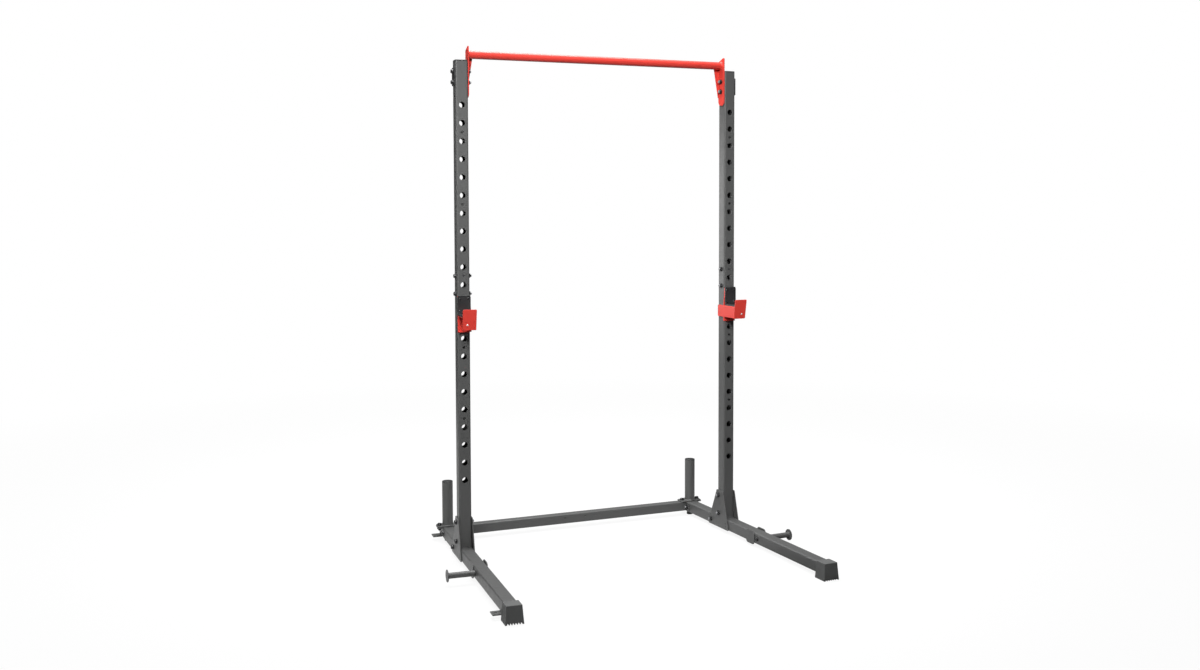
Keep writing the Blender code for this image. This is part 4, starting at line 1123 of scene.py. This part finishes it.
# %% [markdown]
# ## The floor
#
# The photograph stands on plain white. The floor is a pale plane. To the eye most of it is given
# as white and the rest is lit, so that the rack keeps a soft shadow, and the lit share fades out
# with distance, so that no horizon shows. Gloss sees that white only behind the rack, and
# elsewhere a dark floor, so that the low faces stay dark.

# %% Floor
FLOOR_RINGS = (0.0, 4.0, 40.0)
BEHIND = (-0.6, 0.8, 0.0)  # away from the camera, roughly
LIT_SHARE = 0.10


def shown(nodes, *rays):
    """1 for any of the named kinds of ray, and 0 for the others, which carry the light."""
    path = nodes.add("LightPath", {}, {}, rays[0])
    total = path
    for ray in rays[1:]:
        total = total.math("MAXIMUM", total, Wire(nodes, path.node, ray))
    return total


def emptied(owner):
    """The bare node tree of a new material or world."""
    owner.use_nodes = True
    owner.node_tree.nodes.clear()
    return Nodes(owner.node_tree)


def pale_floor():
    material = bpy.data.materials.new("pale_floor")
    nodes = emptied(material)
    spot = nodes.add("TexCoord", {}, {}, "Object")
    distance = nodes.add("VectorMath", {"operation": "LENGTH"}, {0: spot}, "Value")
    backwards = nodes.add("VectorMath", {"operation": "DOT_PRODUCT"}, {0: spot, 1: BEHIND}, "Value")
    mirrored = backwards.stretched(-0.5, 0.0) * (1.0 - distance.stretched(2.5, 4.5))
    seen = shown(nodes, "Is Camera Ray") + shown(nodes, "Is Glossy Ray") * mirrored
    share = seen * (distance.stretched(2.0, 5.0) * LIT_SHARE + (1.0 - LIT_SHARE))
    tone = nodes.add("Mix", {"data_type": "RGBA"},
                     {0: seen, 6: (0.12, 0.12, 0.12, 1.0), 7: (0.80, 0.80, 0.80, 1.0)}, 2)
    paper = nodes.add("BsdfDiffuse", {}, {"Color": tone})
    white = nodes.add("Emission", {}, {"Color": (1.0, 1.0, 1.0, 1.0)})
    surface = nodes.add("MixShader", {}, {0: share, 1: paper, 2: white})
    nodes.add("OutputMaterial", {}, {"Surface": surface})
    return material


disc = turned([(radius, 0.0) for radius in FLOOR_RINGS])
floor = placed("floor", mesh_of("floor", [disc]))
floor.data.materials.append(pale_floor())
if floor.data.polygons[0].normal.z < 0:
    floor.data.flip_normals()
print("floor", len(floor.data.polygons), "faces")

# %% [markdown]
# ## Light
#
# The world gives a faint even light, and white to the eye. A large lamp overhead makes the tops
# and the upper ends lighter than the feet. One at the left lights the outer faces, and a weaker
# one at the right those that the camera can't see, so that they look right from elsewhere. A
# narrow one in front is aimed high, which leaves the holes and the low fronts dark. A small one
# behind, unseen, gives the inner faces their sheen.

# %% World
WORLD_LIGHT = 0.07
world = bpy.data.worlds.new("studio")
nodes = emptied(world)
strength = shown(nodes, "Is Camera Ray", "Is Transmission Ray") * (1.0 - WORLD_LIGHT) + WORLD_LIGHT
sky = nodes.add("Background", {}, {"Color": (1.0, 1.0, 1.0, 1.0), "Strength": strength})
nodes.add("OutputWorld", {}, {"Surface": sky})
bpy.context.scene.world = world
print("the world lights with", WORLD_LIGHT)


# %% Lamps
def lamp(name, where, target, size, power, spread=180.0):
    """A square area lamp that looks at a point. A smaller spread is a narrower cone."""
    data = bpy.data.lights.new(name, "AREA")
    data.shape, data.size, data.energy, data.spread = "SQUARE", size, power, math.radians(spread)
    light = placed(name, data)
    light.location = where
    x, y, z = np.array(where) - target
    light.rotation_euler = (math.atan2(math.hypot(x, y), z), 0.0, math.atan2(y, x) + math.pi / 2)
    return light


lamp("top_lamp", (-0.2, 1.0, 4.6), (0.0, 0.0, 0.0), 3.0, 330.0)
lamp("left_lamp", (-7.4, -0.3, 2.0), (0.0, 0.0, 0.9), 3.0, 60.0)
lamp("right_lamp", (7.4, 0.6, 2.0), (0.0, 0.0, 0.9), 3.0, 36.0)
lamp("front_lamp", (-1.6, -3.0, 3.4), (0.0, 0.0, 1.45), 1.4, 29.0, 56.0)
back = lamp("back_lamp", (-0.2, 1.6, 1.3), (0.6, 0.0, 1.2), 0.9, 2.85, 100.0)
back.visible_camera = False
bpy.context.scene.view_settings.view_transform = "Standard"
print("lamps lit")
